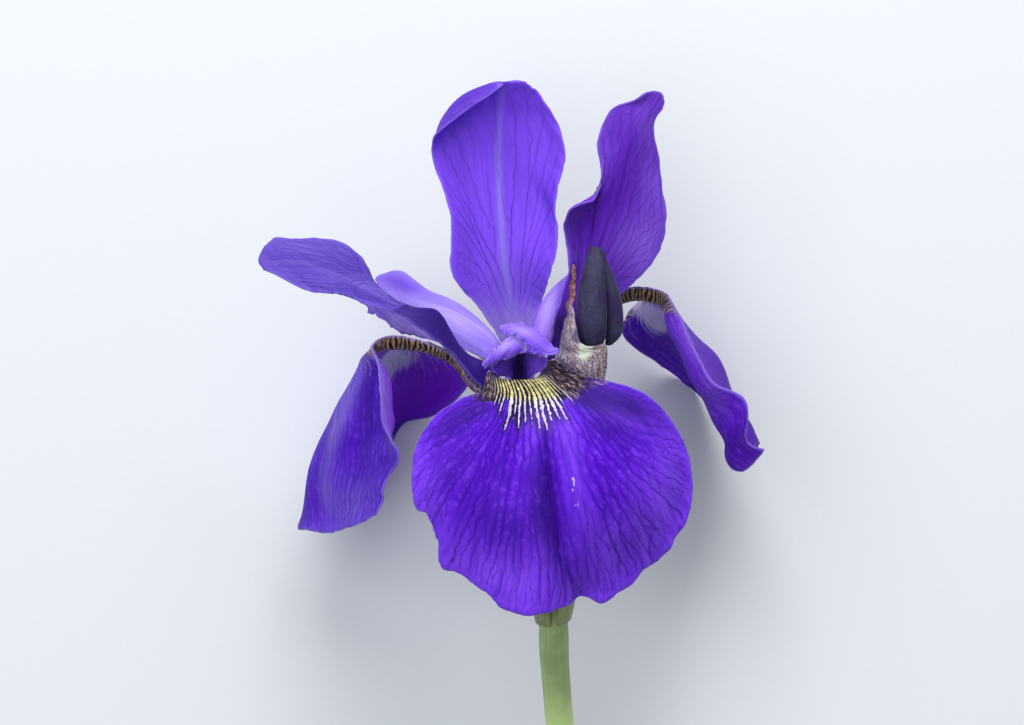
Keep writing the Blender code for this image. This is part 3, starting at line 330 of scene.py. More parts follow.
def rows_fall_right():
    # v = -1 far margin, 0 midrib, 1 near margin
    return [
        arc(3.1, 120, 0.35, 30, flip=-1.0),
        channel(0.08, 4.6, 120, 4.2, 1.8, 0.4, flip=-1.0),
        shape_row(0.16, (566, 362, -7.2), (562, 370, -5.6), (559, 373, -3.8),
                  (556, 370, -2.2), (555, 363, -1.6)),
        shape_row(0.25, (597, 318, -13.4), (592, 326, -11.2),
                  (590, 329, -9.0), (587, 326, -6.8), (586, 318, -6.0)),
        shape_row(0.34, (627, 292, -19.6), (624, 300, -17.2),
                  (621, 303.5, -14.2), (618, 301, -11.4), (618, 291, -10.2)),
        shape_row(0.42, (650, 288, -25.0), (648, 296, -21.6),
                  (645, 300, -17.8), (643, 298, -14.6), (645, 287, -13.2)),
        shape_row(0.49, (650, 291, -32.0), (655, 298, -25.6),
                  (662, 304.5, -20.2), (662, 302, -17.0), (663, 291.5, -15.6)),
        (0.55, [(-1, 637, 303, -37.4), (-.5, 654, 303, -31.0),
                (0, 675, 311, -22.2), (.45, 668, 309, -18.0),
                (.70, 665.5, 305, -15.8), (1, 670.5, 299, -14.4)]),
        (0.61, [(-1, 622, 332, -39.0), (-.5, 652, 322, -35.6),
                (0, 684, 323, -24.2), (.35, 678, 328, -18.4),
                (.68, 667, 326, -13.2), (1, 682, 320, -10.6)]),
        (0.67, [(-1, 649, 357, -42.6), (-.5, 671, 343, -37.6),
                (0, 700, 340, -25.4), (.35, 692, 349, -18.4),
                (.68, 680, 352, -10.6), (1, 694, 347, -7.2)]),
        (0.73, [(-1, 678, 377, -45.0), (-.5, 694, 364, -38.6),
                (0, 716, 356, -26.0), (.35, 706, 369, -18.2),
                (.68, 690, 376, -9.2), (1, 704.5, 368, -4.8)]),
        (0.79, [(-1, 700, 396, -44.2), (-.5, 712, 386, -37.0),
                (0, 725, 377, -25.6), (.35, 716, 391, -17.4),
                (.66, 703, 398, -8.2), (1, 717, 385.5, -3.4)]),
        (0.85, [(-1, 720, 416, -40.0), (-.5, 727, 407, -34.0),
                (0, 733, 399, -24.6), (.35, 726, 412, -16.8),
                (.64, 714, 423, -8.2), (1, 742, 396, -3.4)]),
        (0.91, [(-1, 736, 434, -35.0), (-.5, 741, 427, -30.0),
                (0, 746, 420, -22.8), (.35, 738, 433, -15.8),
                (.62, 725, 443, -8.6), (1, 748, 421, -4.0)]),
        (0.96, [(-1, 748, 448, -30.0), (-.5, 750, 441, -26.0),
                (0, 752, 434, -20.4), (.3, 741, 449, -14.6),
                (.60, 726.5, 456, -9.4), (.85, 740, 446, -6.2),
                (1, 748, 442, -5.2)]),
        (1.0, [(-1, 757, 455, -26.0), (-.5, 757, 450, -22.6),
               (0, 756, 446, -18.2), (.25, 743, 461, -13.8),
               (.52, 730, 465, -10.2), (.68, 740, 471, -8.8),
               (.84, 752, 465, -7.4), (1, 765, 450, -6.4)])]


def rows_standard_back():
    return [
        arc(2.9, 180, 0.35, 24, flip=-1.0),
        channel(0.08, 3.0, 180, 4.8, 1.5, 0.5, flip=-1.0),
        shape_row(0.20, (507, 354, -4.4), (511, 355, -5.4), (515, 356, -5.8),
                  (520, 354, -5.4), (525, 351, -4.4)),
        shape_row(0.27, (496, 333, -7.4), (504, 333, -8.4), (513, 333, -8.8),
                  (523, 331, -8.4), (530.5, 329, -8.0)),
        shape_row(0.36, (474, 302, -9.4), (491, 303, -10.8),
                  (510, 304, -11.4), (527, 303, -11.0), (541, 303, -10.4)),
        shape_row(0.45, (453, 276, -7.6), (478, 275, -11.4),
                  (506, 275, -12.4), (530, 274, -11.0), (550, 274, -8.4)),
        shape_row(0.54, (451, 243, -9.0), (477, 241, -12.6),
                  (503, 240, -13.6), (531, 239, -12.2), (558, 238, -8.8)),
        shape_row(0.62, (450, 213, -10.0), (474, 209, -13.2),
                  (500.5, 207, -14.0), (529, 207, -13.4), (547, 209, -12.6),
                  (555, 208, -9.6)),
        shape_row(0.70, (440, 181, -10.6), (469, 176, -13.2),
                  (499, 173, -13.6), (531, 174, -12.6), (561, 176, -9.6)),
        shape_row(0.77, (431.5, 152, -10.0), (464, 146, -12.4),
                  (498.5, 142, -12.6), (532, 144, -11.8), (565, 150, -9.0)),
        (0.835, [(-1, 438, 132, -7.2), (-.93, 437, 133, -8.6),
                 (-.5, 467, 121, -11.2), (0, 501, 116, -11.2),
                 (.5, 530, 117, -10.6), (1, 556, 120, -8.4)]),
        (0.89, [(-1, 452, 122, -6.4), (-.86, 444, 118, -8.0),
                (-.5, 470, 108, -9.8), (0, 502, 102, -9.8),
                (.5, 528, 103, -9.4), (1, 547, 106, -7.8)]),
        (0.94, [(-1, 473, 106, -5.6), (-.78, 460, 99, -7.4),
                (-.45, 478, 96, -8.4), (0, 503.5, 92, -8.4),
                (.5, 525, 91.5, -8.2), (1, 538, 92, -7.4)]),
        (0.975, [(-1, 487, 97.5, -5.4), (-.66, 475, 90, -6.8),
                 (-.4, 486, 88, -7.4), (0, 505, 86, -7.4),
                 (.5, 520, 85.5, -7.3), (1, 530, 86, -7.0)]),
        (1.0, [(-1, 504, 84, -5.6), (-.5, 496, 82, -6.2),
               (0, 508, 81.3, -6.5), (.5, 516, 80.6, -6.6),
               (1, 525, 81.4, -6.6)])]


def rows_standard_right():
    return [
        arc(3.0, 60, 0.35, 20, flip=1.0),
        channel(0.10, 3.1, 60, 5.6, 1.2, 0.3),
        shape_row(0.20, (547, 356, 4.8), (550, 357, 4.3), (554, 357, 4.1),
                  (559, 357, 3.9), (563, 357, 3.5)),
        shape_row(0.27, (552, 329, 3.0), (559, 331, 1.6), (567, 332, 0.9),
                  (575, 334, 0.4), (582, 336, 0.0)),
        shape_row(0.34, (558.5, 305, 1.2), (569, 307, -1.0), (581, 308, -2.0),
                  (592, 310, -2.8), (603, 313, -3.4)),
        shape_row(0.41, (565, 283, -.4), (579, 280, -3.0), (596, 279, -3.8),
                  (611, 283, -5.0), (627, 289, -6.4)),
        shape_row(0.48, (569, 263, -.6), (584, 255, -3.6), (602, 252, -4.2),
                  (625, 257, -5.6), (649, 267, -7.6)),
        shape_row(0.55, (565, 238, -.8), (584, 229, -3.4), (608, 226, -4.0),
                  (636, 230, -5.8), (663, 241, -8.4)),
        (0.61, [(-1, 570, 210, 1.6), (-.86, 576, 208, -.6),
                (-.5, 594, 207, -3.0), (0, 615, 203, -3.8),
                (.5, 640, 206, -6.0), (1, 666, 214, -8.8)]),
        (0.66, [(-1, 592, 200.5, 1.0), (-.86, 595, 195, -1.2),
                (-.5, 605, 190, -2.6), (0, 620, 184, -3.8),
                (.5, 641, 187, -6.2), (1, 663, 192, -9.0)]),
        shape_row(0.72, (601, 173, -2.0), (611, 166, -2.8), (625, 161, -4.2),
                  (642, 164, -6.6), (660, 170, -9.2)),
        shape_row(0.79, (597, 147, -3.0), (612, 143, -4.0), (632, 141, -5.2),
                  (645, 143, -7.2), (657, 146, -9.2)),
        shape_row(0.86, (602, 126, -4.2), (621, 123, -5.4), (639, 124, -6.6),
                  (647, 124, -8.0), (654, 123, -9.4)),
        shape_row(0.92, (613, 108, -5.6), (631, 109, -7.0), (646, 111, -8.0),
                  (654, 111, -9.2), (660.5, 111, -10.2)),
        shape_row(0.97, (631, 101.5, -6.8), (642, 100, -8.0), (650, 101, -8.8),
                  (658, 102, -9.8), (664, 103, -10.6)),
        shape_row(1.0, (647, 92.5, -7.8), (651, 91.5, -8.4), (655, 91, -9.2),
                  (659, 91.8, -10.0), (662.5, 94, -10.6))]


def rows_standard_left():
    # v = -1 far (upper) margin, 0 midrib, 1 near (lower) margin
    return [
        arc(3.0, -60, 0.35, 20, flip=1.0),
        channel(0.06, 3.2, -57, 5.0, 1.1, 0.3),
        shape_row(0.13, (497, 378, 3.6), (493, 372, 4.6), (489, 370, 5.6),
                  (485, 378, 6.4), (482, 387, 7.2)),
        shape_row(0.22, (478, 365, 3.2), (474, 360, 4.4), (469, 356.5, 5.6),
                  (464, 359, 7.0), (461, 364, 8.2)),
        shape_row(0.31, (460, 350, 3.6), (456, 343, 4.8), (452, 336, 6.2),
                  (446, 338, 8.2), (439, 343, 9.8)),
        shape_row(0.39, (445, 330, 4.0), (442, 321, 5.4), (438, 313, 7.0),
                  (430, 319, 9.0), (421, 329, 10.6)),
        shape_row(0.46, (429, 318, 4.8), (427, 311.5, 6.4), (423, 309, 8.2),
                  (414, 313, 10.0), (406, 318.5, 11.4)),
        shape_row(0.52, (410, 309, 6.0), (408, 306, 7.8), (404, 307.5, 9.6),
                  (399, 310, 11.0), (393, 311.5, 12.0)),
        shape_row(0.58, (394, 299.5, 7.2), (392, 299, 9.0), (388, 300, 10.8),
                  (383, 304, 12.0), (378, 308.5, 12.8)),
        shape_row(0.65, (378, 287, 8.0), (377, 290, 9.8), (371, 292, 11.4),
                  (363, 297, 12.6), (357, 301, 13.4)),
        shape_row(0.72, (370, 272, 8.6), (362, 279, 10.4), (352, 285.5, 11.8),
                  (345, 291, 13.0), (341, 294.5, 13.6)),
        shape_row(0.79, (354, 250, 8.8), (344, 264, 10.6), (331, 278, 11.8),
                  (325, 286, 12.8), (320, 293, 13.2)),
        shape_row(0.86, (329, 239, 8.6), (321, 255, 10.2), (308, 271, 11.2),
                  (303, 280, 12.0), (300, 288, 12.4)),
        shape_row(0.93, (303, 238.5, 8.4), (296, 252, 9.8), (285, 266, 10.4),
                  (281, 273, 11.0), (279, 277, 11.4)),
        shape_row(1.0, (274, 237.5, 8.0), (262, 250, 8.8), (258.5, 261.5, 9.2),
                  (261, 266, 9.6), (264, 270, 9.8))]


# ---------------------------------------------------------------- styles
def rows_style_front():
    def om(u, y0, top, half, d0, d1, foot, cx=520.0):
        return (u, [(-1, cx - half * .92, foot, d1 - .3),
                    (-.7, cx - half, (foot * .5 + top * .5) + 2, d1),
                    (-.4, cx - half * .72, top + (foot - top) * .16, d0),
                    (0, cx, top, d0),
                    (.4, cx + half * .72, top + (foot - top) * .16, d0),
                    (.7, cx + half, (foot * .5 + top * .5) + 2, d1),
                    (1, cx + half * .92, foot, d1 - .3)])
    return [
        channel(0.0, 1.9, 0, 7.4, 1.1, 0.5, flip=1.0),
        om(0.28, 0, 362, 8.5, 7.3, 7.3, 378, 520),
        om(0.50, 0, 357, 7.6, 9.8, 9.9, 377.5, 520),
        (0.68, [(-1, 505, 376.5, 11.6), (-.7, 506.5, 367, 11.7),
                (-.4, 509, 357, 11.8), (0, 520, 354, 11.9),
                (.4, 531, 356.5, 11.8), (.7, 533.5, 366, 11.7),
                (1, 533.5, 374.5, 11.5)]),
        (0.84, [(-1, 498, 376, 13.0), (-.7, 497.5, 366, 13.2),
                (-.4, 504, 355.5, 13.4), (0, 520, 352, 13.4),
                (.4, 536, 355, 13.4), (.7, 542, 363, 13.2),
                (1, 540.5, 371.5, 12.9)]),
        (1.0, [(-1, 494.5, 372.5, 14.2), (-.7, 492.5, 364.5, 14.4),
               (-.4, 502, 355.5, 14.5), (0, 521, 352, 14.5),
               (.4, 538, 355, 14.5), (.7, 546.5, 360, 14.4),
               (1, 545.5, 368, 14.2)])]


def rows_crest_left():
    # leaf-like lobe lying to the left over the lip
    return [
        shape_row(0.0, (525, 351, 15.6), (522, 347, 16.2), (517, 342, 16.2),
                  (510, 337.5, 15.6)),
        shape_row(0.35, (513, 356.5, 16.4), (510, 351, 17.2),
                  (506, 346, 17.1), (502, 342.5, 16.2)),
        shape_row(0.7, (499, 361.5, 16.4), (497, 358, 17.1),
                  (494.5, 354.5, 17.0), (493, 353.5, 16.2)),
        shape_row(1.0, (486.5, 367.5, 15.9), (485, 366.8, 16.2),
                  (484, 365.9, 16.2), (484.3, 364.6, 15.9))]


def rows_crest_right():
    # broad lobe standing up behind the left one and reaching to the right
    return [
        shape_row(0.0, (500.5, 328.5, 13.2), (501.2, 331, 13.7),
                  (502.5, 333.5, 14.0)),
        shape_row(0.15, (507, 324.4, 12.7), (507.5, 329.5, 14.2),
                  (508, 334.8, 14.6)),
        shape_row(0.38, (521, 324.2, 12.3), (521.5, 331.5, 14.7),
                  (521, 340, 15.1)),
        shape_row(0.58, (532.5, 328, 12.4), (533, 338, 15.1),
                  (531, 352.5, 15.4)),
        shape_row(0.78, (543, 336, 12.9), (543.5, 344, 15.3),
                  (542, 355.5, 15.5)),
        shape_row(0.90, (549.5, 344, 13.8), (550, 348.5, 15.3),
                  (550, 356, 15.4)),
        shape_row(1.0, (556, 348, 14.4), (558.5, 351.2, 15.0),
                  (556, 355, 15.2))]


def rows_style_left():
    return [
        channel(0.0, 1.9, -120, 7.4, 1.1, 0.5, flip=1.0),
        shape_row(0.14, (506, 360, -2.0), (503, 351, -.9), (499, 346, 0.4),
                  (494, 354, 1.6), (491, 364, 1.8)),
        shape_row(0.28, (485, 336, -7.6), (482, 326, -5.8),
                  (477, 321, -3.6), (468, 334, -1.2), (462, 349, -1.0)),
        shape_row(0.42, (459, 319, -13.0), (457, 307, -10.6),
                  (452, 303, -7.8), (444, 322, -5.2), (439, 343, -6.0)),
        shape_row(0.57, (433, 308, -17.2), (432, 296, -14.4),
                  (428, 293.5, -11.6), (421, 314, -9.8), (416, 337, -12.2)),
        shape_row(0.72, (413, 297, -20.2), (413, 284, -17.2),
                  (409, 280, -14.6), (401, 304, -12.6), (395, 329, -15.0)),
        shape_row(0.86, (398, 290, -21.4), (399, 278, -18.6),
                  (396, 272.5, -15.8), (386, 296, -13.6), (378, 318.5, -14.8)),
        shape_row(1.0, (384, 294, -21.4), (383, 284, -19.2),
                  (378, 277, -16.8), (371, 294, -14.8), (366, 309, -15.6))]


def rows_style_right():
    return [
        channel(0.0, 1.9, 120, 7.4, 1.1, 0.5, flip=-1.0),
        shape_row(0.16, (527, 357, -2.2), (528, 348, -1.3), (531, 341, -.2),
                  (537, 346, 1.2), (543, 354, 1.4)),
        shape_row(0.32, (539, 327, -6.8), (538.5, 317, -5.8), (541, 307, -4.2),
                  (549, 316, -2.6), (557, 329, -2.4)),
        shape_row(0.5, (557, 304, -12.6), (554, 294.5, -10.6),
                  (556, 286.5, -8.8), (566, 295, -7.4), (575, 308, -7.2)),
        shape_row(0.75, (578, 287, -18.8), (577, 276, -16.0),
                  (580, 270, -13.6), (590, 282, -11.4), (596, 297, -11.8)),
        shape_row(1.0, (606, 277, -21.6), (604, 268, -19.0),
                  (606, 264, -16.6), (613, 273, -14.4), (617, 285, -14.8))]


# ---------------------------------------------------------------- bract
def rows_bract():
    return [
        shape_row(0.0, (572, 381, 5.6), (579, 383, 7.4), (588, 384, 8.4),
                  (597, 383, 7.8), (604, 382, 6.2)),
        shape_row(0.14, (560, 366, 6.0), (570, 368, 8.6), (583, 369, 9.8),
                  (597, 368, 8.8), (606.5, 367, 6.4)),
        shape_row(0.28, (556, 356, 5.6), (567, 357, 8.8), (581, 357, 10.2),
                  (597, 355, 9.2), (607, 354, 6.8)),
        shape_row(0.355, (559.3, 349, 5.3), (568, 352, 8.4),
                  (579.5, 355, 9.9), (594, 352.5, 9.3), (605, 344, 7.7)),
        shape_row(0.42, (560.5, 343, 5.0), (566, 346, 7.8),
                  (574, 349.3, 9.5), (584, 350, 9.9), (594.5, 346.5, 9.4)),
        shape_row(0.48, (561.7, 337, 4.8), (565.5, 340, 7.2),
                  (570.5, 343, 8.8), (576.5, 345, 9.6), (583.5, 345, 9.8)),
        shape_row(0.56, (564, 325.5, 4.4), (566.7, 327.5, 6.2),
                  (570, 330, 7.4), (573.5, 332, 8.2), (577.3, 333, 8.6)),
        shape_row(0.65, (566.5, 313, 4.2), (568.5, 313, 5.4),
                  (570.5, 313, 6.1), (572.5, 313, 6.5), (574.3, 313, 6.6)),
        shape_row(0.78, (568.2, 296, 4.1), (570, 296, 4.5), (571.7, 296, 4.8),
                  (573.4, 296, 4.9), (575, 296, 4.9)),
        shape_row(0.90, (571, 280, 4.2), (572.2, 280, 4.4),
                  (573.6, 280, 4.5), (575, 280, 4.5), (576.2, 280, 4.5)),
        shape_row(1.0, (572.2, 265, 4.3), (572.8, 264.6, 4.35),
                  (573.5, 264.4, 4.4), (574.2, 264.6, 4.4),
                  (574.8, 265, 4.4))]


def rows_spathe(side):
    """spathe valve: side -1 wraps the left of the stalks, +1 the right; the
    cross rows are arcs round the stem line"""
    rows = []
    prof = [(0.0, 619, -11.9, 2.95, 80), (0.2, 604, -10.9, 3.4, 78),
            (0.45, 588, -9.9, 3.7, 72), (0.7, 572, -8.9, 3.9, 58),
            (0.88, 558, -8.1, 3.9, 36), (1.0, 546, -7.5, 3.9, 9)]
    if side > 0:
        prof = [(u, y + (6 if u > .6 else 0) + 10 * u, d, r, a)
                for u, y, d, r, a in prof]
    for u, y, d, r, half in prof:
        cx = 553.4 + (615 - y) * 0.02
        c = world((cx, y, d))
        out = []
        for v in np.linspace(-1, 1, 7):
            a = math.radians(90 * side + half * v * (-1 if side > 0 else -1))
            w = c + r * (math.sin(a) * SIDE + math.cos(a) * FRONT)
            out.append((v,) + tuple(layout(w)))
        rows.append((u, out))
    return rows

# ------------------------------------------------------------ fine meshes
def smooth(a, b, x):
    t = np.clip((x - a) / (b - a), 0.0, 1.0)
    return t * t * (3 - 2 * t)


def row_arcs(P):
    """arc length across each row, starting at v = -1"""
    d = np.linalg.norm(np.diff(P, axis=1), axis=2)
    return np.concatenate([np.zeros((len(P), 1)), np.cumsum(d, 1)], 1)


def column_arcs(P):
    d = np.linalg.norm(np.diff(P, axis=0), axis=2)
    return np.concatenate([np.zeros((1, P.shape[1])), np.cumsum(d, 0)], 0)


class Veins:
    """branching veins grown over a grid of mm points from the base outwards"""

    def __init__(self, P, U, V, seed, u0, starts, gap, stop=0.985,
                 step=0.006, wander=0.10, split_from=0.0, links=0.0,
                 shrink=0.84, spread=0.10, pin=0.0, die=0.0):
        self.P, self.U, self.V = P, U, V
        self.S = row_arcs(P)
        rng = np.random.default_rng(seed)
        tot = self.S[:, -1]
        mid = column_arcs(P)[:, P.shape[1] // 2]
        length = mid[-1]
        f = np.array(starts, float)
        n = len(f)
        vel = np.zeros(n)
        wig = np.zeros(n)
        w = np.ones(n)
        thr = gap * (0.75 + 0.8 * rng.random(n))
        live = [[(u0, a, 1.0)] for a in f]
        alive = np.ones(n, bool)
        self.lines = []
        u = u0
        while u < stop:
            u += step
            W = max(float(np.interp(u, U, tot)), 0.5)
            ds = step * length
            ext = np.concatenate([[-f[0] * 0.6], f, [1 + (1 - f[-1]) * 0.6]])
            even_pull = (ext[2:] + ext[:-2]) / 2 - f
            f = f + even_pull * min(0.6, spread * ds)
            mem = math.exp(-ds / 1.3)
            wig = wig * mem + rng.normal(0, 1, len(f)) \
                * wander * math.sqrt(1 - mem * mem)
            for i in range(1, len(f)):
                if f[i] < f[i - 1] + 0.10 / W:
                    f[i] = f[i - 1] + 0.10 / W
            f = np.clip(f, 0.004, 0.996)
            gl = np.diff(np.concatenate([[0], f]))
            gr = np.diff(np.concatenate([f, [1]]))
            lim = 0.42 * np.minimum(gl, gr)
            pos = f + np.clip(wig / W, -lim, lim)
            for i in range(len(f)):
                if alive[i]:
                    live[i].append((u, pos[i], w[i]))
            if links > 0 and u > split_from:
                for i in range(len(f) - 1):
                    g = (f[i + 1] - f[i]) * W
                    if 0.5 < g < 3.2 and rng.random() < links * ds:
                        du = min(g / length * (0.8 + 1.4 * rng.random()),
                                 0.10)
                        if u + du < stop:
                            a, b = pos[i], pos[i + 1]
                            if rng.random() < 0.5:
                                a, b = b, a
                            m = (a + b) / 2 + rng.normal(0, 0.12) * (b - a)
                            self.lines.append([(u, a, .42), (u + du * .45, m,
                                                             .34),
                                               (u + du, b, .42)])
            if u > split_from:
                i = 0
                while i < len(f):
                    left = f[i] - f[i - 1] if i else f[i] * 1.6
                    right = f[i + 1] - f[i] if i + 1 < len(f) \
                        else (1 - f[i]) * 1.6
                    if min(left, right) * W > thr[i] and len(f) < 260:
                        e = 0.07 / W
                        self.lines.append(live[i])
                        wn = w[i] * shrink
                        here = pos[i]
                        pos = np.insert(pos, i + 1, pos[i])
                        f = np.insert(f, i + 1, f[i] + e)
                        f[i] -= e
                        wig = np.insert(wig, i + 1, wig[i])
                        big = rng.random() < 0.5
                        w = np.insert(w, i + 1, wn * (1.0 if big else 0.8))
                        w[i] = wn * (0.8 if big else 1.0)
                        alive = np.insert(alive, i + 1, alive[i])
                        t2 = gap * (0.75 + 0.8 * rng.random(2))
                        thr = np.insert(thr, i + 1, t2[0])
                        thr[i] = t2[1]
                        live[i] = [(u, here, w[i])]
                        live.insert(i + 1, [(u, here, w[i + 1])])
                        i += 1
                    i += 1
            if die > 0:
                for i in range(len(f)):
                    if alive[i] and w[i] < .75 and rng.random() < die * ds:
                        alive[i] = False
            w = np.maximum(w - 0.006 * ds, 0.30)
        for i, l in enumerate(live):
            if len(l) > 1:
                self.lines.append(l)

    def points(self, step=0.22):
        """dense samples (mm point, weight) along every vein"""
        U, V, P, S = self.U, self.V, self.P, self.S
        nu, nv = P.shape[:2]
        pts, ws = [], []
        for line in self.lines:
            a = np.array(line, float)
            n = max(2, int(len(a)))
            iu = np.interp(a[:, 0], U, np.arange(nu))
            i0 = np.clip(iu.astype(int), 0, nu - 2)
            t = iu - i0
            fj = np.empty(len(a))
            for k in range(len(a)):
                s = S[i0[k]] * (1 - t[k]) + S[i0[k] + 1] * t[k]
                fj[k] = np.interp(a[k, 1] * s[-1], s, np.arange(nv))
            j0 = np.clip(fj.astype(int), 0, nv - 2)
            q = (fj - j0)[:, None]
            tt = t[:, None]
            X = (P[i0, j0] * (1 - q) + P[i0, j0 + 1] * q) * (1 - tt) \
                + (P[i0 + 1, j0] * (1 - q) + P[i0 + 1, j0 + 1] * q) * tt
            d = np.concatenate([[0], np.cumsum(
                np.linalg.norm(np.diff(X, axis=0), axis=1))])
            if d[-1] < 1e-6:
                continue
            m = max(2, int(d[-1] / step) + 1)
            z = np.linspace(0, d[-1], m)
            pts.append(np.stack([np.interp(z, d, X[:, c])
                                 for c in range(3)], 1))
            ws.append(np.interp(z, d, a[:, 2]))
        return np.concatenate(pts), np.concatenate(ws)

    def distance(self, Q, k=3):
        """for each mm point of Q: distance in units of the vein's own weight
        and plain distance"""
        X, W = self.points()
        kd = kdtree.KDTree(len(X))
        for i, p in enumerate(X):
            kd.insert(p, i)
        kd.balance()
        flat = Q.reshape(-1, 3)
        rel = np.empty(len(flat))
        raw = np.empty(len(flat))
        wt = np.empty(len(flat))
        for n, p in enumerate(flat):
            best = 1e9
            near = 1e9
            bw = 0.0
            for _, i, d in kd.find_n(p, k):
                r = d / W[i]
                if r < best:
                    best, bw = r, W[i]
                if d < near:
                    near = d
            rel[n], raw[n], wt[n] = best, near, bw
        sh = Q.shape[:-1]
        return rel.reshape(sh), raw.reshape(sh), wt.reshape(sh)


def grid_at(G, iu, fj):
    nu, nv = G.shape[:2]
    i0 = np.clip(iu.astype(int), 0, nu - 2)
    j0 = np.clip(fj.astype(int), 0, nv - 2)
    t = (iu - i0)[:, None]
    q = (fj - j0)[:, None]
    return (G[i0, j0] * (1 - q) + G[i0, j0 + 1] * q) * (1 - t) \
        + (G[i0 + 1, j0] * (1 - q) + G[i0 + 1, j0 + 1] * q) * t


def path_dist(L, pts):
    """signed distance (drawing units, plus on the right hand going along
    the path) and 0..1 position along a polyline of the elevation"""
    a = np.array(pts, float)
    seg = np.diff(a, axis=0)
    ln = np.linalg.norm(seg, axis=1)
    acc = np.concatenate([[0], np.cumsum(ln)])
    x, y = L[..., 0], L[..., 1]
    best = np.full(x.shape, 1e9)
    sg = np.zeros(x.shape)
    pos = np.zeros(x.shape)
    for k in range(len(seg)):
        dx, dy = x - a[k, 0], y - a[k, 1]
        t = np.clip((dx * seg[k, 0] + dy * seg[k, 1]) / ln[k] ** 2, 0, 1)
        ex, ey = dx - t * seg[k, 0], dy - t * seg[k, 1]
        d = np.hypot(ex, ey)
        side = np.sign(seg[k, 0] * dy - seg[k, 1] * dx)
        m = d < best
        best = np.where(m, d, best)
        sg = np.where(m, side, sg)
        pos = np.where(m, (acc[k] + t * ln[k]) / acc[-1], pos)
    return -best * sg, pos


def along(path, q):
    """points at fractions q of a polyline's length"""
    a = np.array(path, float)
    d = np.concatenate([[0], np.cumsum(
        np.linalg.norm(np.diff(a, axis=0), axis=1))])
    return np.stack([np.interp(np.asarray(q) * d[-1], d, a[:, c])
                     for c in range(2)], -1)


class Fan:
    """second net over a sheet whose lines run from one curve of the
    elevation to another, so that veins can fan out as they should"""

    def __init__(self, G, root, ends, lift, mask=None, nt=90, nf=160,
                 pull=0.985):
        L = layout(G)
        nu, nv = G.shape[:2]
        ok = np.ones((nu, nv), bool) if mask is None else mask
        idx = np.argwhere(ok)
        kd = kdtree.KDTree(len(idx))
        for n, (i, j) in enumerate(idx):
            kd.insert((L[i, j, 0], L[i, j, 1], 0.0), n)
        kd.balance()
        f = np.linspace(0, 1, nf)
        A, B = along(root, f), along(ends, f)
        B = A + (B - A) * pull
        ln = np.linalg.norm(B - A, axis=1, keepdims=True)
        C = 0.5 * (A + B) + lift * ln if callable(lift) is False \
            else lift(f, A, B)
        t = np.linspace(0, 1, nt)[:, None, None]
        X = (1 - t) ** 2 * A + 2 * t * (1 - t) * C + t ** 2 * B
        self.iu = np.zeros((nt, nf))
        self.fj = np.zeros((nt, nf))
        L2 = L[..., :2]
        for a in range(nt):
            for b in range(nf):
                x, y = X[a, b]
                _, n, _ = kd.find((x, y, 0.0))
                i, j = (float(v) for v in idx[n])
                for _ in range(3):
                    i0 = int(min(max(i, 0), nu - 2))
                    j0 = int(min(max(j, 0), nv - 2))
                    p, q = i - i0, j - j0
                    c00, c01 = L2[i0, j0], L2[i0, j0 + 1]
                    c10, c11 = L2[i0 + 1, j0], L2[i0 + 1, j0 + 1]
                    w = (c00 * (1 - q) + c01 * q) * (1 - p) \
                        + (c10 * (1 - q) + c11 * q) * p
                    di = (c10 - c00) * (1 - q) + (c11 - c01) * q
                    dj = (c01 - c00) * (1 - p) + (c11 - c10) * p
                    det = di[0] * dj[1] - di[1] * dj[0]
                    if abs(det) < 1e-9:
                        break
                    ex, ey = x - w[0], y - w[1]
                    si = (ex * dj[1] - ey * dj[0]) / det
                    sj = (di[0] * ey - di[1] * ex) / det
                    i += max(-2.0, min(2.0, si))
                    j += max(-2.0, min(2.0, sj))
                    i = min(max(i, 0.0), nu - 1.0)
                    j = min(max(j, 0.0), nv - 1.0)
                self.iu[a, b], self.fj[a, b] = i, j
        self.U, self.V = np.linspace(0, 1, nt), np.linspace(-1, 1, nf)

    def take(self, G):
        sh = self.iu.shape
        return grid_at(G, self.iu.ravel(), self.fj.ravel()).reshape(
            sh + G.shape[2:])


def spot(L, x, y, rx, ry, turn=0.0):
    a = math.radians(turn)
    dx, dy = L[..., 0] - x, L[..., 1] - y
    p = (dx * math.cos(a) + dy * math.sin(a)) / rx
    q = (-dx * math.sin(a) + dy * math.cos(a)) / ry
    return np.exp(-(p * p + q * q))


def ridge_mesh(name, paths, mat):
    """thin closed ridges; paths: list of (points, normals, half widths,
    strengths), mm"""
    V, F, K = [], [], []
    n0 = 0
    for X, N, W, S in paths:
        m = len(X)
        T = np.gradient(X, axis=0)
        T /= np.maximum(np.linalg.norm(T, axis=1, keepdims=True), 1e-9)
        B = np.cross(N, T)
        B /= np.maximum(np.linalg.norm(B, axis=1, keepdims=True), 1e-9)
        w = W[:, None]
        V += [np.stack([X - B * w - N * 0.035, X + N * 0.028,
                        X + B * w - N * 0.035], 1).reshape(-1, 3)]
        K += [np.repeat(S, 3)]
        i = n0 + 3 * np.arange(m - 1)
        F += [np.stack([i, i + 3, i + 4, i + 1], 1),
              np.stack([i + 1, i + 4, i + 5, i + 2], 1),
              np.stack([i + 2, i + 5, i + 3, i], 1)]
        n0 += 3 * m
    V = np.concatenate(V)
    F = np.concatenate(F)
    me = bpy.data.meshes.new(name)
    me.from_pydata(posed(V).tolist(), [], F.tolist())
    me.update()
    me.polygons.foreach_set("use_smooth", np.ones(len(me.polygons), bool))
    at = me.attributes.new("k", 'FLOAT', 'POINT')
    at.data.foreach_set("value", np.concatenate(K).astype(np.float32))
    ob = bpy.data.objects.new(name, me)
    bpy.context.scene.collection.objects.link(ob)
    me.materials.append(mat)
    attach(ob, "root")
    return ob


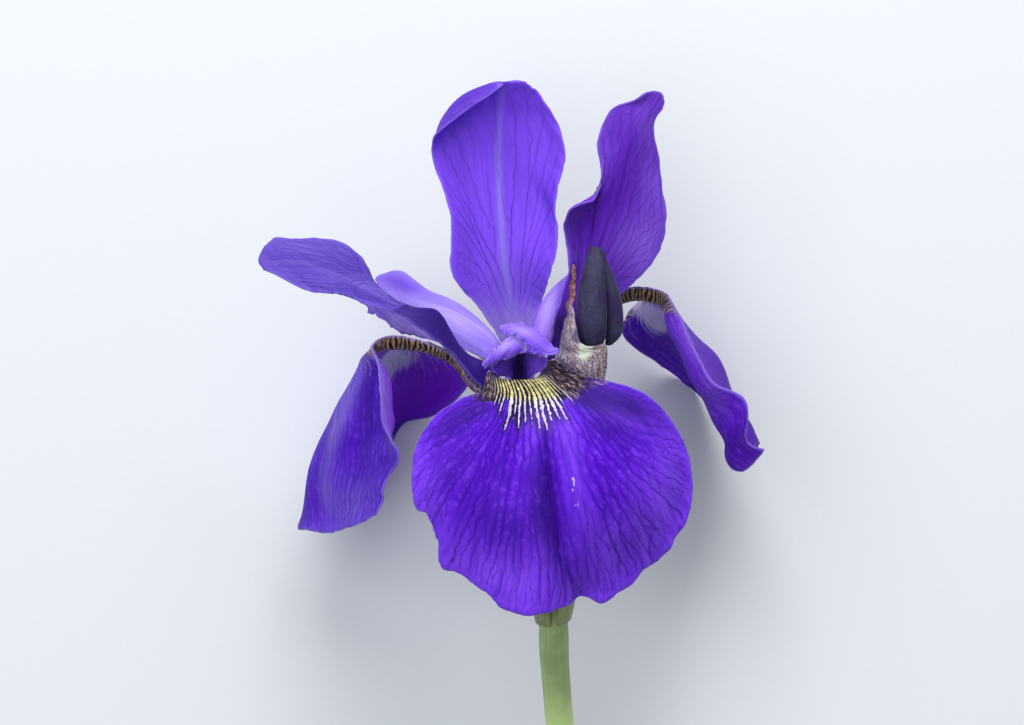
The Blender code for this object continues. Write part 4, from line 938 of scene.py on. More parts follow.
def vein_paths(vs, G, n, side, width, strength=None, step=0.42,
               least=0.0, margin=1.0):
    """smoothed vein lines laid on the finished surface G"""
    out = []
    U, V, S = vs.U, vs.V, vs.S
    nu, nv = G.shape[:2]
    N = normals(G)
    N = N * np.sign((N * n).sum(-1, keepdims=True) + 1e-9) * side
    for line in vs.lines:
        a = np.array(line, float)
        if a[:, 2].max() < least:
            continue
        iu = np.interp(a[:, 0], U, np.arange(nu))
        i0 = np.clip(iu.astype(int), 0, nu - 2)
        t = iu - i0
        fj = np.empty(len(a))
        for k in range(len(a)):
            s = S[i0[k]] * (1 - t[k]) + S[i0[k] + 1] * t[k]
            fj[k] = np.interp(a[k, 1] * s[-1], s, np.arange(nv))
        if len(a) > 4:
            for _ in range(2):
                fj[1:-1] = 0.25 * fj[:-2] + 0.5 * fj[1:-1] + 0.25 * fj[2:]
        X = grid_at(G, iu, fj)
        d = np.concatenate([[0], np.cumsum(
            np.linalg.norm(np.diff(X, axis=0), axis=1))])
        if d[-1] < 0.15:
            continue
        m = max(3, int(d[-1] / step) + 1)
        z = np.linspace(0, d[-1], m)
        iu, fj = np.interp(z, d, iu), np.interp(z, d, fj)
        X = grid_at(G, iu, fj)
        nn = grid_at(N, iu, fj)
        nn /= np.linalg.norm(nn, axis=1, keepdims=True)
        w = np.interp(z, d, a[:, 2])
        uu = np.interp(z, d, a[:, 0])
        ff = np.interp(z, d, a[:, 1])
        end = np.clip((d[-1] - z) / margin, 0, 1)
        tap = 0.25 + 0.75 * end if a[-1, 0] > 0.9 else np.ones(m)
        k = 0.35 + 0.65 * w
        if strength is not None:
            k = k * strength(uu, ff, layout(X))
        keep = k > 0.06
        # a line fades out where it is weak
        W = width * (0.35 + 0.65 * w) * tap * np.clip(k * 2.0, 0.35, 1.0)
        i = 0
        while i < m:
            if keep[i]:
                j = i
                while j + 1 < m and keep[j + 1]:
                    j += 1
                if j - i >= 2:
                    q = slice(i, j + 1)
                    out.append((X[q], nn[q], W[q], k[q]))
                i = j + 1
            else:
                i += 1
    return out


def noise2(seed, shape, cells, octaves=1, gain=0.5):
    """smooth random field over a grid, about -1..1; cells along each side"""
    rng = np.random.default_rng(seed)
    out = np.zeros(shape)
    amp, tot = 1.0, 0.0
    cu, cv = cells
    for _ in range(octaves):
        g = rng.uniform(-1, 1, (int(cu) + 3, int(cv) + 3))
        x = np.linspace(0, cu, shape[0])
        y = np.linspace(0, cv, shape[1])
        a = spline(np.arange(g.shape[0]), g, x)
        b = spline(np.arange(g.shape[1]), a.T, y).T
        out += amp * b
        tot += amp
        amp *= gain
        cu, cv = cu * 2, cv * 2
    return out / tot


def flat_map(P):
    """unwrapped map of a sheet: across by arc length, along by the middle"""
    S = row_arcs(P)
    mid = P.shape[1] // 2
    x = S - S[:, mid:mid + 1]
    y = column_arcs(P)[:, mid][:, None] * np.ones_like(x)
    x = (x - x.min()) / (np.ptp(x) + 1e-9)
    y = (y - y.min()) / (np.ptp(y) + 1e-9)
    return x, y, np.ptp(S[:, -1]) + S[:, -1].mean(), np.ptp(y)


SURF = {}


def sheet_piece(name, P, thick, attrs, top_h=None, bot_h=None, rim=0.14,
                edge=(True, True, True), node=None, mat=None):
    """closed fine sheet with its own attributes on each side
    attrs: name -> grid or (top grid, bottom grid)"""
    nu, nv = P.shape[:2]
    n = normals(P)
    S = row_arcs(P)
    C = column_arcs(P)
    # the sheet thins over the last 0.7 mm to its free edges
    d = np.full((nu, nv), 9.0)
    if edge[0]:
        d = np.minimum(d, S)
    if edge[1]:
        d = np.minimum(d, S[:, -1:] - S)
    if edge[2]:
        d = np.minimum(d, C[-1:] - C)
    half = 0.5 * (rim + (thick - rim) * np.sqrt(
        np.clip(d / 0.8, 0, 1) * (2 - np.clip(d / 0.8, 0, 1))))
    fade = smooth(0, 0.5, d)
    th = 0 if top_h is None else top_h * fade
    bh = 0 if bot_h is None else bot_h * fade
    top = P + n * (half + th)[..., None]
    bot = P - n * (half + bh)[..., None]
    SURF[name] = (top, bot, n)
    V = np.concatenate([top.reshape(-1, 3), bot.reshape(-1, 3)])
    off = nu * nv
    I = np.arange(off).reshape(nu, nv)
    a, b = I[:-1, :-1].ravel(), I[:-1, 1:].ravel()
    c, e = I[1:, :-1].ravel(), I[1:, 1:].ravel()
    F = np.concatenate([np.stack([a, c, e, b], 1),
                        off + np.stack([a, b, e, c], 1)])
    ring = np.concatenate([I[0, :], I[1:, -1], I[-1, -2::-1], I[-2:0:-1, 0]])
    r2 = np.roll(ring, -1)
    F = np.concatenate([F, np.stack([ring, r2, off + r2, off + ring], 1)])
    Vp = posed(V)
    tri = Vp[F[:, [0, 1, 2]]]
    vol = np.einsum('ij,ij->i', tri[:, 0], np.cross(tri[:, 1], tri[:, 2])) \
        .sum()
    tri = Vp[F[:, [0, 2, 3]]]
    vol += np.einsum('ij,ij->i', tri[:, 0], np.cross(tri[:, 1], tri[:, 2])) \
        .sum()
    if vol < 0:
        F = F[:, ::-1]
    me = bpy.data.meshes.new(name)
    me.vertices.add(len(Vp))
    me.vertices.foreach_set("co", Vp.astype(np.float32).ravel())
    me.loops.add(F.size)
    me.loops.foreach_set("vertex_index", F.ravel().astype(np.int32))
    me.polygons.add(len(F))
    me.polygons.foreach_set("loop_start",
                            np.arange(0, F.size, 4, dtype=np.int32))
    me.update(calc_edges=True)
    me.validate()
    me.polygons.foreach_set("use_smooth", np.ones(len(me.polygons), bool))
    for k, val in attrs.items():
        if isinstance(val, tuple):
            x = np.concatenate([val[0].ravel(), val[1].ravel()])
        else:
            x = np.concatenate([val.ravel(), val.ravel()])
        at = me.attributes.new(k, 'FLOAT', 'POINT')
        at.data.foreach_set("value", x.astype(np.float32))
    side = np.concatenate([np.zeros(off), np.ones(off)])
    at = me.attributes.new("under", 'FLOAT', 'POINT')
    at.data.foreach_set("value", side.astype(np.float32))
    # unwrapped map: upper side in one half of the square, under side in the
    # other
    x, y, w, h = flat_map(P)
    uv0 = np.stack([0.02 + 0.96 * x, 0.01 + 0.47 * y], -1).reshape(-1, 2)
    uv1 = uv0 + np.array([0.0, 0.51])
    UV = np.concatenate([uv0, uv1])
    lay = me.uv_layers.new(name="OFBake")
    vi = np.empty(len(me.loops), np.int32)
    me.loops.foreach_get("vertex_index", vi)
    # the rim belongs to the upper side's map
    luv = UV[vi]
    rim_loops = vi.reshape(-1, 4)[-len(ring):]
    rv = rim_loops % off
    luv[-rim_loops.size:] = UV[rv.ravel()]
    lay.data.foreach_set("uv", luv.astype(np.float32).ravel())
    ob = bpy.data.objects.new(name, me)
    bpy.context.scene.collection.objects.link(ob)
    if mat is not None:
        me.materials.append(mat)
    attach(ob, "root")
    if node:
        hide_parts(node)
    return ob


# ------------------------------------------------------------ node helpers
class Nodes:
    def __init__(self, name):
        self.mat = bpy.data.materials.new(name)
        self.mat.use_nodes = True
        self.nt = self.mat.node_tree
        self.bsdf = self.nt.nodes["Principled BSDF"]

    def new(self, kind, **props):
        n = self.nt.nodes.new(kind)
        for k, v in props.items():
            setattr(n, k, v)
        return n

    def link(self, a, b):
        self.nt.links.new(a, b)

    def put(self, sock, val):
        if hasattr(val, "links") or hasattr(val, "is_linked"):
            self.link(val, sock)
        elif isinstance(val, (tuple, list)):
            v = tuple(val)
            sock.default_value = v + (1.0,) if len(v) == 3 and \
                sock.type == 'RGBA' else v
        else:
            sock.default_value = val

    def attr(self, name):
        return self.new("ShaderNodeAttribute", attribute_name=name,
                        attribute_type='GEOMETRY').outputs["Fac"]

    def math(self, op, a, b=0.0, c=0.0, clamp=False):
        n = self.new("ShaderNodeMath", operation=op, use_clamp=clamp)
        for s, v in zip(n.inputs, (a, b, c)):
            self.put(s, v)
        return n.outputs[0]

    def mix(self, f, a, b, blend='MIX'):
        n = self.new("ShaderNodeMix", data_type='RGBA', blend_type=blend)
        self.put(n.inputs["Factor"], f)
        self.put(n.inputs[6], a)
        self.put(n.inputs[7], b)
        return n.outputs[2]

    def range(self, x, a, b, c=0.0, d=1.0, smooth_=True):
        n = self.new("ShaderNodeMapRange", clamp=True,
                     interpolation_type='SMOOTHSTEP' if smooth_
                     else 'LINEAR')
        for s, v in zip(n.inputs, (x, a, b, c, d)):
            self.put(s, v)
        return n.outputs[0]

    def ramp(self, x, stops, interp='LINEAR'):
        n = self.new("ShaderNodeValToRGB")
        cr = n.color_ramp
        cr.interpolation = interp
        while len(cr.elements) < len(stops):
            cr.elements.new(0.5)
        for e, (p, c) in zip(cr.elements, stops):
            e.position = p
            e.color = tuple(c) + (1.0,) if len(c) == 3 else c
        self.put(n.inputs[0], x)
        return n.outputs[0]

    def vec(self, x, y, z=0.0):
        n = self.new("ShaderNodeCombineXYZ")
        for s, v in zip(n.inputs, (x, y, z)):
            self.put(s, v)
        return n.outputs[0]

    def noise(self, vec, scale, detail=2.0, rough=0.5, dist=0.0):
        n = self.new("ShaderNodeTexNoise")
        self.put(n.inputs["Vector"], vec)
        n.inputs["Scale"].default_value = scale
        n.inputs["Detail"].default_value = detail
        n.inputs["Roughness"].default_value = rough
        n.inputs["Distortion"].default_value = dist
        return n.outputs[0]

    def voronoi(self, vec, scale, feature='F1', rand=1.0):
        n = self.new("ShaderNodeTexVoronoi", feature=feature)
        self.put(n.inputs["Vector"], vec)
        n.inputs["Scale"].default_value = scale
        n.inputs["Randomness"].default_value = rand
        return n.outputs[0]

    def obj(self):
        return self.new("ShaderNodeTexCoord").outputs["Object"]

    def bump(self, h, strength=0.3, dist=0.0002):
        n = self.new("ShaderNodeBump")
        n.inputs["Strength"].default_value = strength
        n.inputs["Distance"].default_value = dist
        self.put(n.inputs["Height"], h)
        return n.outputs[0]

    def done(self, col, rough, normal=None, sheen=0.0, spec=0.5, sss=0.0,
             sheen_rough=0.4, sheen_tint=(0.6, 0.5, 1.0)):
        self.put(self.bsdf.inputs["Base Color"], col)
        self.put(self.bsdf.inputs["Roughness"], rough)
        self.bsdf.inputs["Specular IOR Level"].default_value = spec
        if sheen:
            self.bsdf.inputs["Sheen Weight"].default_value = sheen
            self.bsdf.inputs["Sheen Roughness"].default_value = sheen_rough
            self.bsdf.inputs["Sheen Tint"].default_value = \
                tuple(sheen_tint) + (1.0,)
        if normal is not None:
            self.put(self.bsdf.inputs["Normal"], normal)
        return self.mat


def srgb(h):
    """'#rrggbb' -> linear colour"""
    h = h.lstrip('#')
    out = []
    for i in (0, 2, 4):
        c = int(h[i:i + 2], 16) / 255.0
        out.append(c / 12.92 if c <= 0.04045
                   else ((c + 0.055) / 1.055) ** 2.4)
    return tuple(out)

# -------------------------------------------------------------- materials
def tepal_material(name, base, deep, pale, vein, under, under_vein,
                   rim=None, vein_amt=0.85, fine_amt=0.35, rough=0.52,
                   sheen=0.25, midrib=None, claw=None, signal=None,
                   streak=(70.0, 5.0), cell=0.35,
                   shade_and_light=None, patchy=(0.55, 1.0), under_k=0.84,
                   mottle_and_sheen=0.0):
    """petal skin. The mesh carries: f (0..1 across), u (along), vein, gap
    (mm to the nearest vein), edge (mm to the margin), under (0 upper side,
    1 under side) and, where they are used, mid, claw, ray and haft"""
    m = Nodes(name)
    f, u = m.attr("f"), m.attr("u")
    ve, gap = m.attr("vein"), m.attr("gap")
    ed, un = m.attr("edge"), m.attr("under")
    ob = m.obj()
    # long soft streaks that follow the veins, and broad cloudy areas
    s1 = m.noise(m.vec(m.math('MULTIPLY', f, streak[0]),
                       m.math('MULTIPLY', u, streak[1])), 1.0, 3.0, 0.6)
    s2 = m.noise(m.vec(m.math('MULTIPLY', f, streak[0] * 3.1),
                       m.math('MULTIPLY', u, streak[1] * 4.0), 7.0),
                 1.0, 2.0, 0.6)
    broad = m.noise(ob, 130.0, 2.0, 0.5)
    grain = m.noise(ob, 5200.0, 2.0, 0.6)
    c = m.mix(m.range(s1, 0.30, 0.72), deep, base)
    c = m.mix(m.math('MULTIPLY', m.range(broad, 0.45, 0.75), 0.45), c, pale)
    # the skin swells between the veins and is painted paler there: partly its
    # own paler ground, partly painted light on the swelling and painted shade
    # beside the sunken veins
    c = m.mix(m.math('MULTIPLY', m.range(gap, 0.12, 0.85), cell), c, pale)
    # fine cross-linked network too small to model
    net_ = m.voronoi(m.vec(m.math('MULTIPLY', f, streak[0] * 1.25),
                           m.math('MULTIPLY', u, streak[1] * 7.0)), 1.0,
                     'DISTANCE_TO_EDGE')
    fine = m.math('MULTIPLY', m.range(net_, 0.11, 0.0), fine_amt)
    fine = m.math('MULTIPLY', fine, m.range(s2, 0.35, 0.62))
    c = m.mix(fine, c, vein)
    c = m.mix(m.math('MULTIPLY', m.range(s2, 0.62, 0.8), 0.25), c, pale)
    if mottle_and_sheen:
        # pillowed cells between the veins, each with a paler centre: partly the
        # skin's own mottle, partly painted light on each swelling
        cells = m.noise(ob, 820.0, 2.0, 0.6)
        pil = m.math('MULTIPLY', m.range(cells, 0.47, 0.66),
                     m.range(gap, 0.10, 0.42))
        pil = m.math('MULTIPLY', pil, m.range(broad, 0.35, 0.62, 0.35, 1.0))
        c = m.mix(m.math('MULTIPLY', pil, mottle_and_sheen), c,
                  tuple(min(1.0, 1.35 * x + 0.03) for x in pale))
        # fine pale specks in the grain: painted glints of the velvety skin
        c = m.mix(m.math('MULTIPLY', m.range(grain, 0.60, 0.72),
                         mottle_and_sheen * 0.6), c, pale)
    # under side
    cu = m.mix(m.range(s1, 0.35, 0.7), tuple(under_k * x for x in under), under)
    cu = m.mix(m.math('MULTIPLY', m.range(s2, 0.58, 0.8), 0.4), cu,
               tuple(min(1.0, 1.7 * x + 0.02) for x in under))
    c = m.mix(un, c, cu)
    vcol = m.mix(un, vein, under_vein)
    c = m.mix(m.math('MULTIPLY', ve, vein_amt), c, vcol)
    if midrib is not None:
        col, amt = midrib
        md = m.attr("mid")
        mm = m.math('MULTIPLY', md, m.range(s2, 0.2, 0.7, 0.65, 1.0))
        c = m.mix(m.math('MULTIPLY', mm, amt), c, col)
    if claw is not None:
        cl = m.attr("claw")
        jag = m.math('ADD', cl, m.math('MULTIPLY',
                                       m.math('SUBTRACT', s1, 0.5), 0.7))
        c = m.mix(m.math('MULTIPLY', m.range(jag, 0.35, 0.75), claw[1]), c,
                  claw[0])
        if len(claw) > 2:
            # short pale and brown dashes on the narrow part
            dash = m.noise(m.vec(m.math('MULTIPLY', f, 64.0),
                                 m.math('MULTIPLY', u, 26.0), 2.0),
                           1.0, 2.0, 0.6)
            on = m.range(cl, 0.45, 0.95)
            c = m.mix(m.math('MULTIPLY', m.math(
                'MULTIPLY', m.range(dash, 0.56, 0.64), on), 0.75), c,
                claw[2])
            c = m.mix(m.math('MULTIPLY', m.math(
                'MULTIPLY', m.range(dash, 0.42, 0.34), on), 0.7), c,
                claw[3])
    if signal is not None:
        c = signal(m, c, f, u, s1, s2, ve, un, ob)
    if rim is not None:
        c = m.mix(m.math('MULTIPLY', m.range(ed, 0.5, 0.05), rim[1]), c,
                  rim[0])
    r = m.range(grain, 0.3, 0.7, rough - 0.06, rough + 0.07)
    r = m.math('SUBTRACT', r, m.math('MULTIPLY', m.range(s2, .5, .8), .05))
    h = m.math('ADD', m.math('MULTIPLY', grain, 0.45),
               m.math('MULTIPLY', s2, 0.6))
    h = m.math('ADD', h, m.math('MULTIPLY', m.range(net_, 0.0, 0.16), 0.35))
    if shade_and_light:
        # painted shade and painted light: broad shaded and lit areas of the
        # blade
        c = m.mix(m.math('MULTIPLY', m.attr("dark"), 0.85), c, shade_and_light[0])
        c = m.mix(m.math('MULTIPLY', m.math(
            'MULTIPLY', m.attr("lite"), m.range(s1, 0.35, 0.62, *patchy)),
            0.9), c, shade_and_light[1])
    return m.done(c, r, m.bump(h, 0.25, 0.0001), sheen=sheen, spec=0.12,
                  sheen_tint=(0.55, 0.45, 1.0))


def vein_material(name, dark, body):
    """raised or sunken veins: dark where strong, petal coloured where weak"""
    m = Nodes(name)
    g = m.noise(m.obj(), 1500.0, 2.0, 0.6)
    k = m.math('ADD', m.attr("k"),
               m.math('MULTIPLY', m.math('SUBTRACT', g, 0.5), 0.5))
    c = m.mix(m.range(k, 0.05, 0.9), body, dark)
    return m.done(c, m.range(g, 0.3, 0.7, 0.5, 0.6), spec=0.15)


def fall_signal(m, c, f, u, s1, s2, ve, un, ob):
    """brown netted haft, then yellow rays that end in white tips"""
    haft, ray = m.attr("haft"), m.attr("ray")
    white, side = m.attr("white"), m.attr("side")
    ground = m.attr("ground")
    blotch = m.noise(ob, 900.0, 3.0, 0.6)
    crumb = m.noise(m.vec(m.math('MULTIPLY', f, 120.0),
                          m.math('MULTIPLY', u, 60.0), 3.0), 1.0, 3.0, 0.65)
    # dark branching lines over a pinkish brown ground
    warp = m.math('MULTIPLY', m.math('SUBTRACT', blotch, 0.5), 1.8)
    lines_ = m.noise(m.vec(m.math('ADD', m.math('MULTIPLY', f, 44.0), warp),
                           m.math('ADD', m.math('MULTIPLY', u, 20.0), warp),
                           9.0), 1.0, 1.0, 0.5)
    mesh_ = m.math('ABSOLUTE', m.math('SUBTRACT', lines_, 0.5))
    brown = m.mix(m.range(blotch, 0.35, 0.68), srgb('#45303a'),
                  srgb('#6e565a'))
    brown = m.mix(m.math('MULTIPLY', m.range(mesh_, 0.08, 0.16), 0.60),
                  brown, srgb('#a8948a'))
    brown = m.mix(m.math('MULTIPLY', m.range(mesh_, 0.056, 0.03), 0.55),
                  brown, srgb('#1c0a18'))
    wv = m.vec(m.math('ADD', m.math('MULTIPLY', f, 40.0), m.math(
        'MULTIPLY', m.math('SUBTRACT', blotch, 0.5), 2.4)),
        m.math('ADD', m.math('MULTIPLY', u, 19.0), m.math(
            'MULTIPLY', m.math('SUBTRACT', crumb, 0.5), 0.9)), 4.0)
    maze = m.voronoi(wv, 1.0, 'DISTANCE_TO_EDGE')
    brown = m.mix(m.math('MULTIPLY', m.range(maze, 0.20, 0.34), 0.75),
                  brown, srgb('#c2a898'))
    brown = m.mix(m.math('MULTIPLY', m.range(maze, 0.17, 0.09), 0.97),
                  brown, srgb('#170610'))
    # the narrow claws of the side petals carry dark bars across
    ph = m.math('ADD', m.math('MULTIPLY', u, 80.0),
                m.math('MULTIPLY', m.noise(
                    m.vec(m.math('MULTIPLY', f, 3.0),
                          m.math('MULTIPLY', u, 26.0), 5.0), 1.0, 2.0, 0.5),
                    3.2))
    ph = m.math('ADD', ph, m.math('MULTIPLY', f, 1.6))
    tiger = m.math('SINE', m.math('MULTIPLY', ph, 6.2832))
    bars = m.mix(m.range(blotch, 0.35, 0.65), srgb('#7a5a48'),
                 srgb('#b39c74'))
    bars = m.mix(m.range(tiger, -0.15, 0.45), bars, srgb('#261018'))
    brown = m.mix(m.attr("band"), brown, bars)
    jag = m.math('ADD', haft,
                 m.math('MULTIPLY', m.math('SUBTRACT', s1, 0.5), 0.6))
    jag = m.math('ADD', jag,
                 m.math('MULTIPLY', m.math('SUBTRACT', crumb, 0.5), 0.5))
    c = m.mix(m.range(jag, 0.42, 0.62), c, brown)
    # near black ground between the rays
    dk = m.math('MULTIPLY', ground, m.range(side, 0.05, 0.6, 0.25, 0.95))
    dk = m.math('MULTIPLY', dk, m.range(m.attr("band"), 0.0, 1.0, 1.0,
                                        0.15))
    c = m.mix(dk, c, srgb('#130524'))
    yel = m.mix(m.range(blotch, 0.35, 0.7), srgb('#a39a62'),
                srgb('#e2dc94'))
    yel = m.mix(m.range(side, 0.75, 0.2), yel, srgb('#8f7f8c'))
    wcol = m.mix(m.range(s2, 0.4, 0.7), srgb('#cfc6ef'), srgb('#fbfaff'))
    rc = m.mix(white, yel, wcol)
    # broken, beaded rays
    loose = m.range(white, 0.0, 1.0, 2.0, 4.0)
    cut = m.math('ADD', ray, m.math('MULTIPLY',
                                    m.math('SUBTRACT', crumb, 0.5), loose))
    outer = m.math('MULTIPLY', m.range(side, 0.9, 0.1, 0.0, 0.40),
                   m.math('SUBTRACT', 1.0, white))
    cut = m.math('SUBTRACT', cut, outer)
    cut = m.math('SUBTRACT', cut, m.math(
        'MULTIPLY', m.range(side, 0.12, 0.0, 0.0, 0.9),
        m.math('SUBTRACT', 1.0, m.attr("band"))))
    cut = m.math('SUBTRACT', cut, m.math('MULTIPLY', white, 0.04))
    k = m.math('MULTIPLY', m.range(cut, 0.30, 0.52), m.range(ray, 0.0, 0.12))
    # on the side petals the rays are faint
    k = m.math('MULTIPLY', k, m.range(m.attr("band"), 0.0, 1.0, 1.0, 0.30))
    dim = m.range(un, 0.0, 1.0, 1.0, 0.75)
    dim = m.math('MULTIPLY', dim, m.math('SUBTRACT', 1.0, m.math(
        'MULTIPLY', m.attr("band"), m.range(u, 0.50, 0.46))))
    rc = m.mix(m.math('MULTIPLY', un, 0.75), rc, srgb('#a89cd6'))
    c = m.mix(m.math('MULTIPLY', k, dim), c, rc)
    # soft pale patch with a torn edge where the blade leaves the claw
    gl = m.math('ADD', m.attr("glow"), m.math('MULTIPLY', m.math(
        'SUBTRACT', s1, 0.5), 1.3))
    gl = m.math('ADD', gl, m.math('MULTIPLY', m.math(
        'SUBTRACT', crumb, 0.5), 0.8))
    gl = m.math('MULTIPLY', m.range(gl, 0.30, 0.95),
                m.range(m.attr("glow"), 0.02, 0.25))
    gl = m.math('MULTIPLY', gl, m.range(un, 0.3, 0.7))
    c = m.mix(m.math('MULTIPLY', gl, 0.88), c, srgb('#cfc7ee'))
    # near-white specks painted as glints along a short line of the blade
    fl = m.attr("fleck")
    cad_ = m.math('MULTIPLY', m.range(crumb, 0.55, 0.62), fl)
    return m.mix(m.range(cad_, 0.25, 0.5), c, srgb('#e6ddff'))


def fall_signal_rev(m, c, f, u, s1, s2, ve, un, ob):
    return fall_signal(m, c, f, u, s1, s2, ve, m.math('SUBTRACT', 1.0, un),
                       ob)


def make_materials():
    M = {}
    # on the falls the midrib colour is painted shade down the groove of the
    # front fall
    fall = dict(rim=(srgb('#9480dc'), 0.55), signal=fall_signal,
                rough=0.50, sheen=0.045, vein_amt=0.45, cell=0.30,
                fine_amt=0.12, mottle_and_sheen=0.5, midrib=(srgb('#20046e'), 0.75))
    M['fall'] = tepal_material(
        "fall_violet_skin", srgb('#5806d4'), srgb('#4200ac'),
        srgb('#6e28e6'), srgb('#22036e'), srgb('#4c0ca6'), srgb('#300a78'),
        shade_and_light=(srgb('#210262'), srgb('#8246f2')), **fall)
    M['fall_l'] = tepal_material(
        "fall_violet_skin_l", srgb('#5404cc'), srgb('#4200ac'),
        srgb('#6424e2'), srgb('#240470'), srgb('#8812f0'), srgb('#4e08a0'),
        shade_and_light=(srgb('#280276'), srgb('#806cca')), **fall)
    # the right fall is drawn from its under side
    fall_rev = dict(fall, signal=fall_signal_rev)
    M['fall_r'] = tepal_material(
        "fall_violet_skin_r", srgb('#5a08ca'), srgb('#4604a8'),
        srgb('#6c22dc'), srgb('#2a0280'), srgb('#5410ae'),
        srgb('#2c0a80'), shade_and_light=(srgb('#280470'), srgb('#7450ba')),
        **fall_rev)
    std = dict(rough=0.5, sheen=0.06, vein_amt=0.30, cell=0.18,
               streak=(34.0, 7.0), fine_amt=0.06)
    M['standard'] = tepal_material(
        "standard_violet_skin", srgb('#5634b2'), srgb('#4c2aa6'),
        srgb('#6240be'), srgb('#34108c'), srgb('#7c48ec'), srgb('#34108c'),
        rim=(srgb('#9c80f0'), 0.30), midrib=(srgb('#8d80d6'), 0.85),
        claw=(srgb('#7a6aac'), 0.9, srgb('#b3a8c0'), srgb('#55406e')),
        shade_and_light=(srgb('#5b3fa2'), srgb('#8a56fa')), **std)
    M['standard_out'] = tepal_material(
        "standard_outer_skin", srgb('#5c24b6'), srgb('#561fb0'),
        srgb('#642bbc'), srgb('#2c0a74'), srgb('#5c24b6'), srgb('#2c0a74'),
        rim=(srgb('#8e6cd8'), 0.35), midrib=(srgb('#2c0c72'), 0.8),
        # the dark claw colour is painted shade on the narrow part turned away
        # from the light
        claw=(srgb('#28085e'), 0.95), shade_and_light=(srgb('#4a02a0'),
                                            srgb('#8058d4')), **std)
    M['standard_left'] = tepal_material(
        "standard_left_skin", srgb('#5a3fb4'), srgb('#4f34a6'),
        srgb('#6a54c0'), srgb('#331a88'), srgb('#6a40cc'), srgb('#3e2090'),
        rim=(srgb('#8a72da'), 0.30), midrib=(srgb('#7461b6'), 0.5),
        # the dark claw colour is painted shade on the narrow part turned away
        # from the light
        claw=(srgb('#26086a'), 0.97), shade_and_light=(srgb('#351a86'),
                                            srgb('#7a66ca')), **std)
    sty = dict(sheen=0.05, vein_amt=0.2, fine_amt=0.05, cell=0.15)
    M['style'] = tepal_material(
        "style_lilac_skin", srgb('#937ce0'), srgb('#8068d4'),
        srgb('#a996e8'), srgb('#7a4ed4'), srgb('#9874ea'), srgb('#7044c8'),
        rim=(srgb('#cbb8fc'), 0.3), rough=0.46, streak=(22.0, 3.0),
        claw=(srgb('#6a3cc4'), 0.7),
        shade_and_light=(srgb('#5a30c0'), srgb('#bca8f6')), **sty)
    # the shade colour here is near black: painted shadow in the slit under the
    # front arm
    M['style_front'] = tepal_material(
        "style_front_skin", srgb('#6a40d0'), srgb('#5830bc'),
        srgb('#8258e4'), srgb('#4420a0'), srgb('#6a40d0'), srgb('#4a22a8'),
        rim=(srgb('#8c68e0'), 0.3), rough=0.45, streak=(18.0, 3.0),
        shade_and_light=(srgb('#160434'), srgb('#8660e8')), **sty)
    M['crest'] = tepal_material(
        "crest_skin", srgb('#8258ee'), srgb('#6c40da'), srgb('#9c78f6'),
        srgb('#5a30be'), srgb('#8258ee'), srgb('#5a30be'),
        rim=(srgb('#b49cf8'), 0.45), rough=0.45, streak=(18.0, 3.0),
        shade_and_light=(srgb('#4c22aa'), srgb('#b49cf8')), **sty)
    return M


def bract_material():
    m = Nodes("bract_dry_skin")
    f, u = m.attr("f"), m.attr("u")
    ve = m.attr("vein")
    patch, tip = m.attr("patch"), m.attr("tip")
    left, right = m.attr("left"), m.attr("right")
    ob = m.obj()
    speck = m.noise(ob, 2700.0, 3.0, 0.7)
    blot = m.noise(ob, 700.0, 3.0, 0.6)
    maze = m.voronoi(m.vec(m.math('MULTIPLY', f, 13.0),
                           m.math('MULTIPLY', u, 17.0)), 1.0,
                     'DISTANCE_TO_EDGE')
    streak = m.noise(m.vec(m.math('MULTIPLY', f, 34.0),
                           m.math('MULTIPLY', u, 10.0)), 1.0, 3.0, 0.6)
    c = m.mix(m.range(blot, 0.35, 0.68), srgb('#a095ae'), srgb('#b9aca8'))
    c = m.mix(m.math('MULTIPLY', left, 0.6), c, srgb('#a49cc0'))
    c = m.mix(m.math('MULTIPLY', right, 0.6), c, srgb('#b29282'))
    c = m.mix(m.math('MULTIPLY', m.range(speck, 0.51, 0.59), 0.8), c,
              srgb('#d8d2de'))
    c = m.mix(m.math('MULTIPLY', m.range(maze, 0.10, 0.03), m.range(
        blot, 0.4, 0.6, 0.35, 0.85)), c, srgb('#5a4049'))
    c = m.mix(m.math('MULTIPLY', m.range(speck, 0.48, 0.41), 0.75), c,
              srgb('#6c5a78'))
    c = m.mix(m.math('MULTIPLY', m.range(streak, 0.52, 0.74), 0.4), c,
              srgb('#cbb29f'))
    c = m.mix(m.math('MULTIPLY', ve, 0.45), c, srgb('#6a4c54'))
    pk = m.range(m.math('ADD', patch, m.math('MULTIPLY', m.math(
        'SUBTRACT', streak, 0.5), 1.9)), 0.42, 0.75)
    c = m.mix(m.math('MULTIPLY', pk, 0.75), c, srgb('#cfdcc8'))
    # painted shade in the cup round the base of the bud
    cup_shade = m.range(m.math('ADD', m.attr("cup"), m.math('MULTIPLY', m.math(
        'SUBTRACT', streak, 0.5), 1.6)), 0.4, 0.7)
    c = m.mix(m.math('MULTIPLY', cup_shade, 0.85), c, srgb('#46406a'))
    tk = m.range(m.math('ADD', tip, m.math('MULTIPLY', m.math(
        'SUBTRACT', speck, 0.5), 1.1)), 0.40, 0.80)
    c = m.mix(m.math('MULTIPLY', tk, 0.7), c, srgb('#96605c'))
    dl = m.math('MULTIPLY', tip, m.range(streak, 0.52, 0.42))
    c = m.mix(m.math('MULTIPLY', dl, 0.9), c, srgb('#43181e'))
    h = m.math('ADD', m.math('MULTIPLY', speck, 0.7), streak)
    return m.done(c, m.range(speck, 0.3, 0.7, 0.62, 0.78),
                  m.bump(h, 0.5, 0.00025), spec=0.25)


